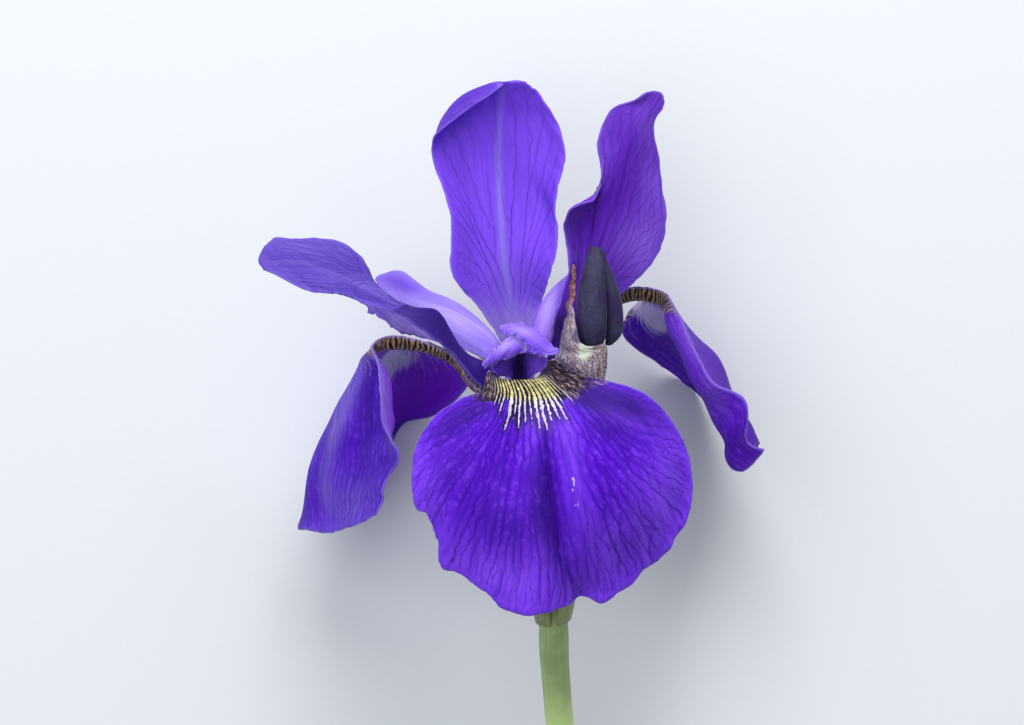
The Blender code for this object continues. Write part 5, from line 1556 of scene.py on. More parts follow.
def bud_material():
    m = Nodes("bud_dusk_skin")
    ob = m.obj()
    sep = m.new("ShaderNodeSeparateXYZ")
    m.link(ob, sep.inputs[0])
    v = m.vec(m.math('MULTIPLY', sep.outputs[0], 2600.0),
              m.math('MULTIPLY', sep.outputs[1], 420.0),
              m.math('MULTIPLY', sep.outputs[2], 2600.0))
    fib = m.noise(v, 1.0, 3.0, 0.6)
    fuzz = m.noise(ob, 6500.0, 2.0, 0.6)
    broad = m.noise(ob, 260.0, 2.0, 0.5)
    c = m.mix(m.range(broad, 0.35, 0.7), srgb('#201e38'), srgb('#2c2b4c'))
    c = m.mix(m.math('MULTIPLY', m.range(fib, 0.48, 0.7), 0.40), c,
              srgb('#44446c'))
    c = m.mix(m.math('MULTIPLY', m.range(fuzz, 0.58, 0.68), 0.6), c,
              srgb('#5a5a84'))
    c = m.mix(m.math('MULTIPLY', m.range(broad, 0.52, 0.4), 0.6), c,
              srgb('#2a154e'))
    c = m.mix(m.math('MULTIPLY', m.attr("shade"), 0.7), c,
              srgb('#1c1a33'))
    ed = m.attr("seam")
    c = m.mix(m.math('MULTIPLY', ed, 0.8), c, srgb('#15132a'))
    h = m.math('ADD', m.math('MULTIPLY', fuzz, 0.6), fib)
    return m.done(c, m.range(fuzz, 0.3, 0.7, 0.55, 0.72),
                  m.bump(h, 0.45, 0.00018), sheen=0.10, spec=0.25,
                  sheen_tint=(0.6, 0.6, 0.9))


def green_material(name, base, deep, pale, along=(1600.0, 60.0),
                   rough=0.45, tint=None):
    """stalks: fine lengthwise ridges under a waxy skin"""
    m = Nodes(name)
    ob = m.obj()
    a, l = m.attr("around"), m.attr("along")
    rid = m.noise(m.vec(m.math('MULTIPLY', a, 26.0),
                        m.math('MULTIPLY', l, 3.0)), 1.0, 3.0, 0.6)
    blot = m.noise(ob, 240.0, 3.0, 0.6)
    dots = m.noise(ob, 4200.0, 2.0, 0.6)
    c = m.mix(m.range(blot, 0.3, 0.7), deep, base)
    c = m.mix(m.math('MULTIPLY', m.range(rid, 0.48, 0.72), 0.55), c, pale)
    c = m.mix(m.math('MULTIPLY', m.range(rid, 0.45, 0.3), 0.4), c, deep)
    c = m.mix(m.math('MULTIPLY', m.range(dots, 0.6, 0.72), 0.35), c, pale)
    if tint is not None:
        c = m.mix(m.math('MULTIPLY', m.attr("tint"), tint[1]), c, tint[0])
    h = m.math('ADD', rid, m.math('MULTIPLY', dots, 0.25))
    return m.done(c, m.range(dots, 0.3, 0.7, rough - 0.05, rough + 0.08),
                  m.bump(h, 0.35, 0.00015), spec=0.4)


def pollen_material():
    m = Nodes("stamen_skin")
    ob = m.obj()
    g = m.noise(ob, 5200.0, 3.0, 0.6)
    k = m.attr("along")
    c = m.mix(m.range(k, 0.52, 0.62), srgb('#8a6fc8'), srgb('#d8cf9a'))
    c = m.mix(m.range(g, 0.5, 0.68), c, srgb('#f0e8bc'))
    c = m.mix(m.range(g, 0.42, 0.3), c, srgb('#6d5a4a'))
    return m.done(c, 0.7, m.bump(g, 0.6, 0.0002), spec=0.3)

# ------------------------------------------------------------------ pieces
def common(P, U, V):
    S = row_arcs(P)
    f = S / np.maximum(S[:, -1:], 1e-6)
    u = np.repeat(U[:, None], len(V), 1)
    C = column_arcs(P)
    edge = np.minimum(np.minimum(S, S[:, -1:] - S), C[-1:] - C)
    return f, u, edge, S, C


def ruffle(P, edge, amp, wave, seed, reach=2.6):
    """small frills that grow towards the free margin"""
    n = normals(P)
    S = row_arcs(P)
    C = column_arcs(P)
    rng = np.random.default_rng(seed)
    a, b, c = rng.uniform(0, 6.28, 3)
    s = S + C * 0.6
    w = np.sin(s * 2 * math.pi / wave + a) \
        + 0.6 * np.sin(s * 2 * math.pi / (wave * 0.57) + b) \
        + 0.35 * np.sin(s * 2 * math.pi / (wave * 0.31) + c)
    k = np.exp(-edge / reach)
    return P + n * (w * k * amp)[..., None]


def tepal(name, node, rows, U, V, thick, veins, mat, ruf=None,
          extra=None, relief=0.06, quilt=0.08, shape=None, ridge=None,
          face=1, vmat=None, strength=None, back_least=0.55, step=0.42,
          fan=None):
    P = world(net(rows, U, V))
    f, u, edge, S, C = common(P, U, V)
    if shape is not None:
        P = shape(P, f, u, edge)
    if ruf:
        P = ruffle(P, edge, *ruf)
    vein = np.zeros(f.shape)
    gap = np.full(f.shape, 0.6)
    h = np.zeros(f.shape)
    vs = None
    if veins:
        if fan:
            fan = Fan(P, *fan[:3], mask=fan[3](f, u) if fan[3] else None)
            vs = Veins(fan.take(P), fan.U, fan.V, **veins)
        else:
            vs = Veins(P, U, V, **veins)
        rel, raw, wt = vs.distance(P, 2)
        vein = np.exp(-(raw / 0.24) ** 2) * np.clip(wt, 0.3, 1.0)
        gap = raw
        h = quilt * (1 - np.exp(-(raw / 0.6) ** 2)) \
            - relief * np.exp(-(raw / 0.3) ** 2) * wt
    at = {"f": f, "u": u, "edge": edge, "vein": vein, "gap": gap}
    L = layout(P)
    if strength is not None:
        k = np.clip(strength(u if not fan else None, f, L), 0, 1)
        at["vein"] = vein * k
        h = h * (0.35 + 0.65 * k)
    if extra:
        at.update(extra(P, L, f, u, edge, S, C))
    for k in ("dark", "lite", "mid", "claw"):
        at.setdefault(k, np.zeros(f.shape))
    dh = at.pop("_h", None)
    h2 = h if dh is None else h + dh
    h3 = -h if dh is None else -h - dh
    ob = sheet_piece(name, P, thick, at, top_h=h2, bot_h=h3,
                     node=node, mat=mat)
    if ridge and vs is not None:
        top, bot, n = SURF[name]
        if fan:
            top, bot, n = fan.take(top), fan.take(bot), fan.take(n)
        a, b = (top, 1) if face > 0 else (bot, -1)
        paths = vein_paths(vs, a, n, b, ridge, strength, step=step)
        c, d = (bot, -1) if face > 0 else (top, 1)
        paths += vein_paths(vs, c, n, d, ridge, strength, step=step * 1.6,
                            least=back_least)
        ridge_mesh("veins_" + node, paths, vmat)
    return ob


RAYS = 32


def signal_attrs(u0, u1, uend, ywhite, seed, haft_end, width=0.62,
                 mid=0.5, spread=(0.26, 0.40), band=0.0):
    """rays lie between evenly spaced dark veins from u0 to their own ends"""
    def fn(P, L, f, u, edge, S, C):
        rng = np.random.default_rng(seed)
        q = (f + 0.0045 * noise2(seed + 1, f.shape, (16, 30), 2)) * RAYS
        k = np.clip(q.astype(int), 0, RAYS - 1)
        r = np.abs(q - k - 0.5) * 2.0
        fc = (np.arange(RAYS) + 0.5) / RAYS
        ends = np.array([uend(x) for x in fc]) \
            + rng.normal(0, 1, RAYS) * 0.034
        wid = width * (1 + 0.22 * rng.normal(0, 1, RAYS))
        e = ends[k]
        body = smooth(u0, u0 + 0.03, u) * smooth(0, 0.05, e - u)
        taper = np.clip((e - u) / 0.15, 0, 1) ** 0.85
        w = wid[k] * taper
        ray = np.clip(1.15 - r / np.maximum(w, 0.02) * 0.75, 0, 1) * body
        side = 1.0 - smooth(spread[0], spread[1], np.abs(f - mid))
        white = smooth(ywhite - 0.04, ywhite + 0.03,
                       u + 0.08 * np.abs(f - mid))
        ground = smooth(u0 - .02, u0 + 0.03, u) \
            * smooth(0.02, -0.05, u - e)
        haft = smooth(haft_end + 0.05, haft_end - 0.05,
                      u + 0.13 * (1 - np.clip(np.abs(f - mid) * 2, 0, 1)))
        return {"ray": ray, "white": white, "ground": ground, "haft": haft,
                "side": side, "band": band * np.ones(f.shape)}
    return fn


def starts(n, lo=0.0, hi=1.0):
    return [lo + (hi - lo) * (k + 1.0) / (n + 1.0) for k in range(n)]


def dense(a, b, n):
    return np.linspace(a, b, n)


M = make_materials()
VEIN_FALL = vein_material("fall_vein_skin", srgb('#21066a'),
                          srgb('#4113b0'))
VEIN_STD = vein_material("standard_vein_skin", srgb('#2a0a78'),
                         srgb('#5a2cc4'))
VEIN_STO = vein_material("standard_outer_vein_skin", srgb('#1c0554'),
                         srgb('#48209c'))
VEIN_STL = vein_material("standard_left_vein_skin", srgb('#200c6a'),
                         srgb('#44289c'))
VEIN_STY = vein_material("style_vein_skin", srgb('#5c34b8'),
                         srgb('#8c68e0'))
VEIN_BRACT = vein_material("bract_vein_skin", srgb('#4a2a34'),
                           srgb('#8a7378'))

# --- front fall
U = np.concatenate([dense(0, 0.25, 12), dense(0.262, 0.5, 34),
                    dense(0.508, 1.0, 62)])
V = dense(-1, 1, 301)
GROOVE = [(541, 405), (545, 440), (552, 500), (560, 560), (583, 600)]


def front_extra(P, L, f, u, edge, S, C):
    at = signal_attrs(0.25, 0.5, lambda x: 0.555 - 0.090 * smooth(
        0.05, 0.32, abs(x - 0.47)), 0.450, 11, 0.52, mid=0.44, width=0.56,
        spread=(0.16, 0.35))(
            P, L, f, u, edge, S, C)
    at["glow"] = np.zeros(f.shape)
    # violet reaches up the right shoulder
    at["haft"] = at["haft"] * (1 - 0.9 * smooth(570, 600, L[..., 0])
                               * smooth(382, 392, L[..., 1]
                                        + 0.2 * (L[..., 0] - 600)))
    d, t = path_dist(L, GROOVE)
    on = smooth(0.0, 0.12, t) * smooth(0.5, 0.56, u)
    at["_h"] = -0.34 * np.exp(-(d / 2.6) ** 2) * on \
        - 0.25 * np.exp(-((d + 7) / 4.0) ** 2) * on * smooth(.3, .7, t)
    # painted shade: a dark line down the groove and a fainter one beside it,
    # where shade falls in the crease
    at["mid"] = (np.exp(-(d / 1.6) ** 2)
                 + 0.7 * np.exp(-((d + 6.5 - 3 * t) / 1.4) ** 2)
                 * smooth(1.0, 0.6, t)) * on
    blade = smooth(0.42, 0.48, u)
    # painted shade: broad darker patches where the blade lies in shade, a
    # shaded band beside the groove, over some random tone
    at["dark"] = blade * np.clip(
        0.95 * spot(L, 605, 400, 50, 14, 14)
        + 1.0 * spot(L, 586, 395, 28, 12, 18)
        + 0.5 * spot(L, 476, 412, 16, 9, -25)
        + 0.5 * spot(L, 605, 430, 26, 14, 10)
        + 0.35 * spot(L, 640, 500, 40, 30, 0)
        + 0.45 * spot(L, 470, 470, 26, 40, 10)
        + 0.55 * spot(L, 640, 415, 40, 14, 35)
        + 0.60 * spot(L, 452, 424, 34, 15, -35)
        + 0.70 * np.exp(-((d + 8) / 13.0) ** 2) * smooth(.1, .35, t)
        + 0.35 * spot(L, 500, 520, 30, 18, 20)
        + 0.3 * spot(L, 630, 545, 30, 14, -40)
        + 0.3 * noise2(7, f.shape, (4, 10), 2), 0, 1)
    # painted light: lit streaks and patches, paler margins and a paler lower
    # blade
    at["lite"] = blade * np.clip(
        0.7 * spot(L, 573, 455, 9, 50, -9)
        + 0.45 * spot(L, 592, 535, 16, 42, -20)
        + 0.6 * spot(L, 500, 572, 46, 20, 15)
        + 0.45 * spot(L, 540, 425, 16, 16, 0)
        + 0.5 * spot(L, 660, 480, 22, 50, 0)
        + 0.35 * spot(L, 430, 480, 14, 34, 0)
        + 0.4 * spot(L, 625, 420, 30, 8, 20)
        + 0.35 * np.exp(-edge / 2.5)
        + 0.45 * smooth(0.74, 0.95, u), 0, 1)
    # painted glints: near-white specks along a short line in the lit band
    fleck, ft = path_dist(L, [(573.5, 480), (574, 492), (577, 508)])
    at["fleck"] = np.exp(-(fleck / 2.0) ** 2)
    return at


def front_shape(P, f, u, edge):
    n = normals(P)
    L = layout(P)
    b = noise2(21, f.shape, (4, 9), 2)
    k = smooth(0.45, 0.8, u)
    d, t = path_dist(L, GROOVE)
    fold = -0.9 * np.exp(-(d / 7.0) ** 2) \
        + 0.55 * np.exp(-((d - 22) / 15.0) ** 2)
    fold = fold * smooth(0.02, 0.25, t) * smooth(.48, .6, u)
    P = P + n * (b * k * 0.40 + fold)[..., None]
    w = np.sin(f * 2 * math.pi * 13 + 1.6 * noise2(4, f.shape, (3, 12)))
    return P + n * (w * 0.10 * smooth(0.55, 0.85, u))[..., None]


def front_strength(u, f, L):
    r = np.hypot((L[..., 0] - 536) / 1.05, L[..., 1] - 392)
    s = smooth(18, 34, r) * np.maximum(
        0.95 * smooth(95, 48, r), 0.32 + 0.52 * smooth(85, 180, r))
    d = L[..., 0] - np.interp(L[..., 1], [440, 500, 560, 600],
                              [546, 552, 560, 583])
    mid_ = np.exp(-((d - 16) / 20.0) ** 2) * smooth(600, 540, L[..., 1])
    return s * (1 - 0.45 * mid_)


FAN_ROOT = [(480, 398), (488, 405), (500, 409), (515, 411), (531, 412),
            (548, 411), (563, 407), (577, 400), (588, 391), (597, 384)]
FAN_ENDS = [(466, 399), (455, 403), (438, 414), (427, 426), (417, 441),
            (413, 457), (412, 486), (418, 511), (429, 520), (441, 546),
            (446, 556), (445, 567), (467, 577), (492, 597), (515, 612),
            (526, 615), (551, 611), (583, 598), (608, 597), (639, 574),
            (664, 555), (675, 538), (687, 517), (692, 486), (687, 450),
            (668, 414), (652, 400), (635, 391), (616, 385), (603, 383)]


tepal("petal_fall_front", "fall_front", rows_fall_front(), U, V, 0.42,
      dict(seed=3, u0=0.01, starts=starts(RAYS - 3), gap=1.45,
           split_from=0.12, links=0.08, wander=0.22, spread=0.22,
           die=0.006, step=0.012),
      M['fall'], ruf=(0.09, 3.1, 9, 1.6),
      extra=front_extra, relief=0.05, quilt=0.09, shape=front_shape,
      ridge=0.105, face=1, vmat=VEIN_FALL, strength=front_strength,
      fan=(FAN_ROOT, FAN_ENDS, lambda f, A, B: 0.5 * (A + B) + np.stack(
          [10 * np.sin((f - .5) * math.pi), 5 * np.cos(
              (f - 0.5) * math.pi) - 7 * np.abs(np.sin(
                  (f - 0.5) * 2 * math.pi))], -1),
          lambda f, u: u > 0.40))

# --- left and right falls
U = np.concatenate([dense(0, 0.13, 8), dense(0.14, 0.52, 46),
                    dense(0.53, 1.0, 70)])
V = dense(-1, 1, 107)


def side_extra(seed, upper):
    def fn(P, L, f, u, edge, S, C):
        at = signal_attrs(0.10, 0.5, lambda x: 0.665 - 0.03 * smooth(
            0.0, 0.5, abs(x - 0.49)), 0.50, seed, 0.60,
            spread=(0.4, 0.6), band=1.0)(P, L, f, u, edge, S, C)
        at["fleck"] = np.zeros(f.shape)
        g = ((397, 357, 24, 13, -4), (384, 372, 10, 14, 0)) \
            if upper == 0 else ((646, 311, 20, 13, 28), (662, 322, 12, 12, 40))
        at["glow"] = smooth(0.52, 0.44, f) * np.clip(
            sum(spot(L, *q) for q in g), 0, 1) * smooth(0.46, 0.49, u)
        nz = noise2(seed + 3, f.shape, (6, 6), 2)
        if upper == 0:
            near = smooth(0.5, 0.6, f)
            # painted shade: the far half darker, a dark line along the fold of
            # the near half and a dark patch, over some random tone
            at["dark"] = np.clip(
                0.25 * smooth(0.42, 0.30, f) * smooth(0.5, 0.58, u)
                + 0.7 * np.exp(-((f - 0.80) / 0.05) ** 2)
                * smooth(.5, .6, u) * smooth(.95, .7, u)
                + 0.35 * spot(L, 392, 470, 10, 34)
                + 0.3 * nz, 0, 1) * smooth(.5, .6, u)
            # painted light: greyish lit streaks on the near half, a paler strip
            # by its margin and paler edges
            at["lite"] = np.clip(
                near * (1.0 * spot(L, 340, 420, 8, 66, 22)
                        + 0.8 * spot(L, 318, 500, 13, 34, 14)
                        + 0.5 * spot(L, 352, 505, 22, 26, 14)
                        + 0.9 * smooth(0.93, 0.99, f)
                        * smooth(0.92, 0.7, u))
                + 0.35 * np.exp(-edge / 1.5), 0, 1) * smooth(.5, .6, u)
        else:
            # painted shade: the far half darker, over some random tone
            at["dark"] = np.clip(
                0.30 * smooth(0.48, 0.36, f) * smooth(0.5, 0.58, u)
                + 0.3 * nz, 0, 1) * smooth(.5, .6, u)
            # painted light: two lit streaks on the near half and paler edges
            at["lite"] = np.clip(
                smooth(0.5, 0.6, f) * (
                    0.6 * spot(L, 690, 345, 10, 30, -30)
                    + 0.6 * spot(L, 715, 395, 10, 26, -25))
                + 0.3 * np.exp(-edge / 1.5), 0, 1) * smooth(.5, .6, u)
        return at
    return fn


def side_shape(seed, amp=0.35):
    def fn(P, f, u, edge):
        n = normals(P)
        b = noise2(seed, f.shape, (8, 6), 2)
        return P + n * (b * smooth(0.55, 0.75, u) * amp)[..., None]
    return fn


def side_strength(u, f, L):
    return smooth(0.56, 0.68, u) * (0.22 + 0.45 * smooth(0.68, 0.95, u)
                                    + 0.25 * smooth(0.5, 0.4, f))


tepal("petal_fall_left", "fall_left", rows_fall_left(), U, V, 0.42,
      dict(seed=31, u0=0.12, starts=starts(RAYS - 1), gap=1.7,
           split_from=0.58, links=0.05, wander=0.25, spread=0.30),
      M['fall_l'], ruf=(0.10, 3.0, 19, 1.5),
      extra=side_extra(41, 0), relief=0.05, quilt=0.08,
      shape=side_shape(51), ridge=0.095, face=1, vmat=VEIN_FALL,
      strength=side_strength)
tepal("petal_fall_right", "fall_right", rows_fall_right(), U, V, 0.42,
      dict(seed=32, u0=0.12, starts=starts(RAYS - 1), gap=1.7,
           split_from=0.58, links=0.05, wander=0.25, spread=0.30),
      M['fall_r'], ruf=(0.10, 3.0, 29, 1.5),
      extra=side_extra(43, 1), relief=0.05, quilt=0.08,
      shape=side_shape(53), ridge=0.095, face=-1, vmat=VEIN_FALL,
      strength=side_strength, back_least=0.0)


# --- standards
def standard_extra(rib, width, u_claw, shade_light_spots, ridge_h=0.10):
    """rib: midrib line on the elevation"""
    def fn(P, L, f, u, edge, S, C):
        d, t = path_dist(L, rib)
        w = width * (0.62 + 0.25 * t)
        mid = np.exp(-(d / w) ** 2) * smooth(1.0, 0.85, t) \
            * (0.5 + 0.5 * smooth(0.05, 0.45, t))
        line = np.exp(-(d / 1.1) ** 2)
        claw = smooth(u_claw[1], u_claw[0], u)
        # painted shade (the dark spots, over some random tone) and painted
        # light (the lit spots and a paler margin)
        dark = 0.25 * noise2(int(width * 10), f.shape, (6, 5), 2)
        lite = 0.35 * np.exp(-edge / 2.0) * smooth(.3, .5, u)
        for kind, amt, *g in shade_light_spots:
            if kind == 'dark':
                dark = dark + amt * spot(L, *g)
            else:
                lite = lite + amt * spot(L, *g)
        return {"mid": mid, "claw": claw, "dark": np.clip(dark, 0, 1),
                "lite": np.clip(lite, 0, 1),
                "_h": ridge_h * line - 0.14 * mid}
    return fn


def veins_out(rib, base, y=None, gain=1.0):
    """weak beside the midrib and at the base, strong towards the margins"""
    def fn(u, f, L):
        d, t = path_dist(L, rib)
        k = base + (1 - base) * smooth(2, 16, np.abs(d))
        if y is not None:
            k = k * smooth(y[0], y[1], L[..., 1])
        return gain * k
    return fn


def climb(up, bend):
    """veins first follow the midrib, then lean out"""
    up = np.array(up, float) / np.hypot(*up)

    def fn(f, A, B):
        ln = np.linalg.norm(B - A, axis=1, keepdims=True)
        return A + (B - A) * (0.5 - 0.3 * bend) + up * ln * bend * 0.62
    return fn


U = np.concatenate([dense(0, 0.15, 8), dense(0.16, 1.0, 112)])
V = dense(-1, 1, 111)
RIB_BACK = [(502.5, 82), (500, 120), (498, 153), (500, 204), (504, 261),
            (510, 300), (515, 333)]
tepal("petal_standard_back", "standard_back", rows_standard_back(),
      U, V, 0.40,
      dict(seed=61, u0=0.01, starts=starts(7), gap=2.6,
           split_from=0.12, links=0.012, wander=0.24, spread=0.16,
           die=0.012, step=0.016),
      M['standard'], ruf=(0.09, 3.4, 63, 1.8),
      # painted shade and painted light spots over the blade
      extra=standard_extra(RIB_BACK, 4.6, (0.14, 0.60), [
          ('dark', 0.85, 500, 292, 62, 46, 0),
          ('dark', 0.55, 549, 206, 5, 22, -12),
          ('dark', 0.35, 462, 118, 30, 8, -52),
          ('dark', 0.30, 470, 240, 12, 40, 8),
          ('lite', 0.5, 540, 140, 16, 50, 0),
          ('lite', 0.45, 478, 180, 12, 50, 0),
          ('lite', 0.2, 530, 235, 12, 24, 0)]),
      relief=0.05, quilt=0.035, ridge=0.115, face=-1, vmat=VEIN_STD,
      strength=veins_out(RIB_BACK, 0.55, (325, 265)),
      fan=([(500, 312), (506, 316), (514, 322), (521, 318), (527, 314)],
           [(492, 318), (470, 292), (455, 265), (450, 235), (447, 205),
            (440, 180), (433, 150), (439, 134), (472, 109), (504, 86),
            (520, 83), (540, 96), (556, 125), (564, 155), (560, 185),
            (555, 205), (556, 225), (551, 260), (540, 290), (532, 314)],
           climb((-0.06, -1), 0.42), lambda f, u: ~((f < 0.13)
                                                    & (u > 0.80))))
RIB_RIGHT = [(645, 100), (632, 125), (626, 160), (617, 195), (606, 225),
             (594, 258), (585, 290)]
tepal("petal_standard_right", "standard_right", rows_standard_right(),
      U, V, 0.40,
      dict(seed=71, u0=0.01, starts=starts(7), gap=2.3,
           split_from=0.12, links=0.02, wander=0.24, spread=0.16,
           step=0.016),
      M['standard_out'], ruf=(0.12, 3.2, 73, 2.0),
      # painted shade on the half turned away from the light, painted light on
      # the lit half
      extra=standard_extra(RIB_RIGHT, 2.2, (0.22, 0.42), [
          ('dark', 0.75, 590, 232, 22, 24, -30),
          ('dark', 0.5, 612, 200, 14, 40, 12),
          ('dark', 0.3, 620, 130, 12, 26, 0),
          ('lite', 0.45, 650, 200, 12, 50, 0),
          ('lite', 0.75, 636, 248, 26, 30, 0),
          ('lite', 0.3, 645, 115, 14, 20, 0)]),
      relief=0.05, quilt=0.035, ridge=0.11, face=-1, vmat=VEIN_STO,
      strength=veins_out(RIB_RIGHT, 0.7, (300, 262), 1.0),
      fan=([(574, 298), (580, 300), (587, 302), (594, 304)],
           [(567, 290), (568, 262), (568, 240), (574, 214), (591, 204),
            (601, 180), (600, 150), (605, 126), (621, 107), (640, 96),
            (652, 95), (657, 103), (654, 130), (661, 160), (665, 200),
            (659, 240), (644, 268), (624, 288), (606, 300)],
           climb((0.22, -1), 0.36),
           lambda f, u: ~((f < 0.10) & (u > 0.45) & (u < 0.8))))
RIB_LEFT = [(262, 262), (300, 262), (340, 276), (380, 296), (420, 318)]
tepal("petal_standard_left", "standard_left", rows_standard_left(),
      U, V, 0.40,
      dict(seed=81, u0=0.01, starts=starts(7), gap=1.5,
           split_from=0.06, links=0.01, wander=0.14, spread=0.2,
           step=0.016),
      M['standard_left'], ruf=(0.10, 3.0, 83, 1.8),
      # painted shade and painted light spots along the blade
      extra=standard_extra(RIB_LEFT, 3.2, (0.50, 0.56), [
          ('dark', 0.35, 345, 290, 40, 6, 14),
          ('lite', 0.35, 300, 248, 30, 8, 8),
          ('lite', 0.45, 365, 282, 22, 6, 22)]),
      relief=0.03, quilt=0.03, ridge=0.105, face=1, vmat=VEIN_STL,
      strength=veins_out(RIB_LEFT, 0.7, None, 0.9),
      fan=([(404, 300), (410, 306), (416, 312)],
           [(392, 292), (381, 276), (368, 258), (350, 247), (325, 240),
            (290, 238), (270, 245), (262, 260), (276, 273), (300, 284),
            (330, 294), (360, 300), (385, 308), (400, 316)],
           climb((-1, -0.55), 0.30), lambda f, u: u > 0.5))


# --- style arms and crests
def style_extra(shade_light_spots, u_claw=(0.08, 0.26)):
    def fn(P, L, f, u, edge, S, C):
        claw = smooth(u_claw[1], u_claw[0], u) * 0.9
        # painted shade (dark spots, and a darkening towards the margins for
        # 'edge') and painted light (the other spots)
        dark = np.zeros(f.shape)
        lite = np.zeros(f.shape)
        for kind, amt, *g in shade_light_spots:
            if kind == 'dark':
                dark = dark + amt * spot(L, *g)
            elif kind == 'edge':
                dark = dark + amt * np.exp(-edge / g[0])
            else:
                lite = lite + amt * spot(L, *g)
        return {"claw": claw, "dark": np.clip(dark, 0, 1),
                "lite": np.clip(lite, 0, 1)}
    return fn


def jagged(seed, amp):
    """uneven outline: the free margins wander in their own plane"""
    def fn(P, f, u, edge):
        du = np.gradient(P, axis=0)
        du /= np.maximum(np.linalg.norm(du, axis=-1, keepdims=True), 1e-9)
        dv = np.gradient(P, axis=1)
        dv /= np.maximum(np.linalg.norm(dv, axis=-1, keepdims=True), 1e-9)
        nu, nv = f.shape
        a = noise2(seed + 5, (1, nv), (1, 9), 3)[0]
        b = noise2(seed + 6, (nu, 2), (22, 1), 3)
        k = smooth(0.80, 1.0, u) * a[None, :]
        out = P + du * (k * amp)[..., None]
        s = np.clip((f - 0.5) * 2, -1, 1)
        w = np.where(s < 0, b[:, :1], b[:, 1:]) * np.abs(s) ** 3
        return out + dv * (w * amp * 0.8 * smooth(0.3, 0.6, u))[..., None]
    return fn


# each list below gives painted shade and painted light spots for one arm or
# crest
for nm, rows, seed, mt, nu, nv, th, shade_light_spots in (
        ("style_arm_left", rows_style_left, 91, 'style', 110, 80, 0.40, [
            ('dark', 0.9, 398, 284, 20, 12, 20),
            ('dark', 0.5, 425, 296, 26, 7, 26),
            ('dark', 0.45, 380, 310, 12, 6, 10), ('edge', 0.35, 0.7),
            ('dark', 0.45, 485, 342, 16, 5, 38),
            ('lite', 0.8, 450, 318, 40, 9, 24)]),
        ("style_arm_right", rows_style_right, 93, 'style', 90, 80, 0.40, [
            ('dark', 0.7, 560, 290, 6, 30, 0),
            ('dark', 0.5, 536, 330, 6, 20, 12),
            ('lite', 0.6, 548, 310, 6, 24, 20)]),
        ("style_arm_front", rows_style_front, 95, 'style_front', 100, 90,
         # painted shadow down the slit under the front arm and painted light on
         # its right flank
         0.34, [('dark', 1.0, 520, 366, 7, 40, 0),
                ('lite', 0.4, 538, 366, 7, 8, 0)]),
        ("style_crest_left", rows_crest_left, 97, 'crest', 70, 50, 0.32, [
            ('dark', 0.85, 497, 366, 14, 6, -22),
            ('dark', 0.4, 520, 352, 8, 5, 0),
            ('lite', 0.9, 506, 345, 12, 5, -30)]),
        ("style_crest_right", rows_crest_right, 99, 'crest', 80, 50, 0.32,
         [('dark', 0.7, 536, 352, 14, 5, 0),
          ('dark', 0.4, 524, 342, 16, 3, 30),
          ('lite', 0.7, 522, 331, 16, 5, 12),
          ('lite', 0.5, 552, 350, 8, 3, 0)])):
    U, V = dense(0, 1, nu), dense(-1, 1, nv)
    crest = mt == 'crest'
    fr_k = smooth(0.55, 0.95, U)[:, None]
    tepal("petal_" + nm, nm, rows(), U, V, th,
          dict(seed=seed, u0=0.04, starts=starts(5 if crest else 7),
               gap=0.9 if crest else 1.5, split_from=0.2, wander=0.10,
               spread=0.2, step=0.02),
          M[mt],
          ruf=(0.20, 1.8, seed, 0.9) if crest else (0.10, 2.1, seed, 1.0),
          extra=style_extra(shade_light_spots), relief=0.02, quilt=0.03,
          ridge=0.05, face=1 if nm in ("style_arm_left",) else -1,
          vmat=VEIN_STY, strength=lambda u, f, L: 0.30 + 0 * f,
          shape=jagged(seed, {"style_arm_front": 0.06,
                               "style_arm_left": 0.95}.get(nm, 0.34 if not crest
                                                 else 0.55)))


# --- bract
def bract_extra(P, L, f, u, edge, S, C):
    return {"patch": np.clip(1.15 * spot(L, 585, 351, 8, 13, 12), 0, 1),
            "left": spot(L, 562, 345, 9, 40, 0),
            "right": np.clip(spot(L, 600, 362, 9, 22, 0), 0, 1),
            # mask for the painted shade in the cup round the bud's base
            "cup": np.clip(spot(L, 588, 341, 14, 5, 12)
                           + spot(L, 578, 334, 4, 8, 20), 0, 1),
            "tip": smooth(0.58, 0.80, u)}


def bract_shape(P, f, u, edge):
    """the dry tip is narrow, twisted and torn"""
    c = P[:, 40:41]
    k = smooth(0.56, 0.70, u[:, :1])[..., None]
    rng = noise2(77, (P.shape[0], 3), (22, 1), 3)[:, 1][:, None, None]
    s = 1 - k * (0.22 + 0.34 * rng)
    out = c + (P - c) * s
    out[..., 0] += (k[..., 0] * 0.22
                    * np.sin(u * 41.0 + 1.0)) * smooth(1.0, 0.7, u)
    return out


U, V = dense(0, 1, 132), dense(-1, 1, 80)
tepal("bract_of_bud", "bud_bract", rows_bract(), U, V, 0.30,
      dict(seed=101, u0=0.02, starts=starts(8), gap=1.1, split_from=0.05,
           links=0.25, wander=0.22, spread=0.3),
      bract_material(), ruf=(0.07, 1.3, 103, 0.8),
      extra=bract_extra, relief=0.05, quilt=0.08, ridge=0.055, face=-1,
      vmat=VEIN_BRACT, shape=bract_shape)

# --- spathe valves
GREEN = green_material("stem_skin", srgb('#9fb679'), srgb('#8ca269'),
                       srgb('#b6c98e'), tint=(srgb('#d6f09c'), 0.9))
SPATHE = green_material("spathe_skin", srgb('#8b9766'), srgb('#69734c'),
                        srgb('#b7bd88'), tint=(srgb('#a58e62'), 0.8))
OVARY = green_material("ovary_skin", srgb('#5f7a45'), srgb('#4a6136'),
                       srgb('#8aa266'), tint=(srgb('#6a5a6e'), 0.6))


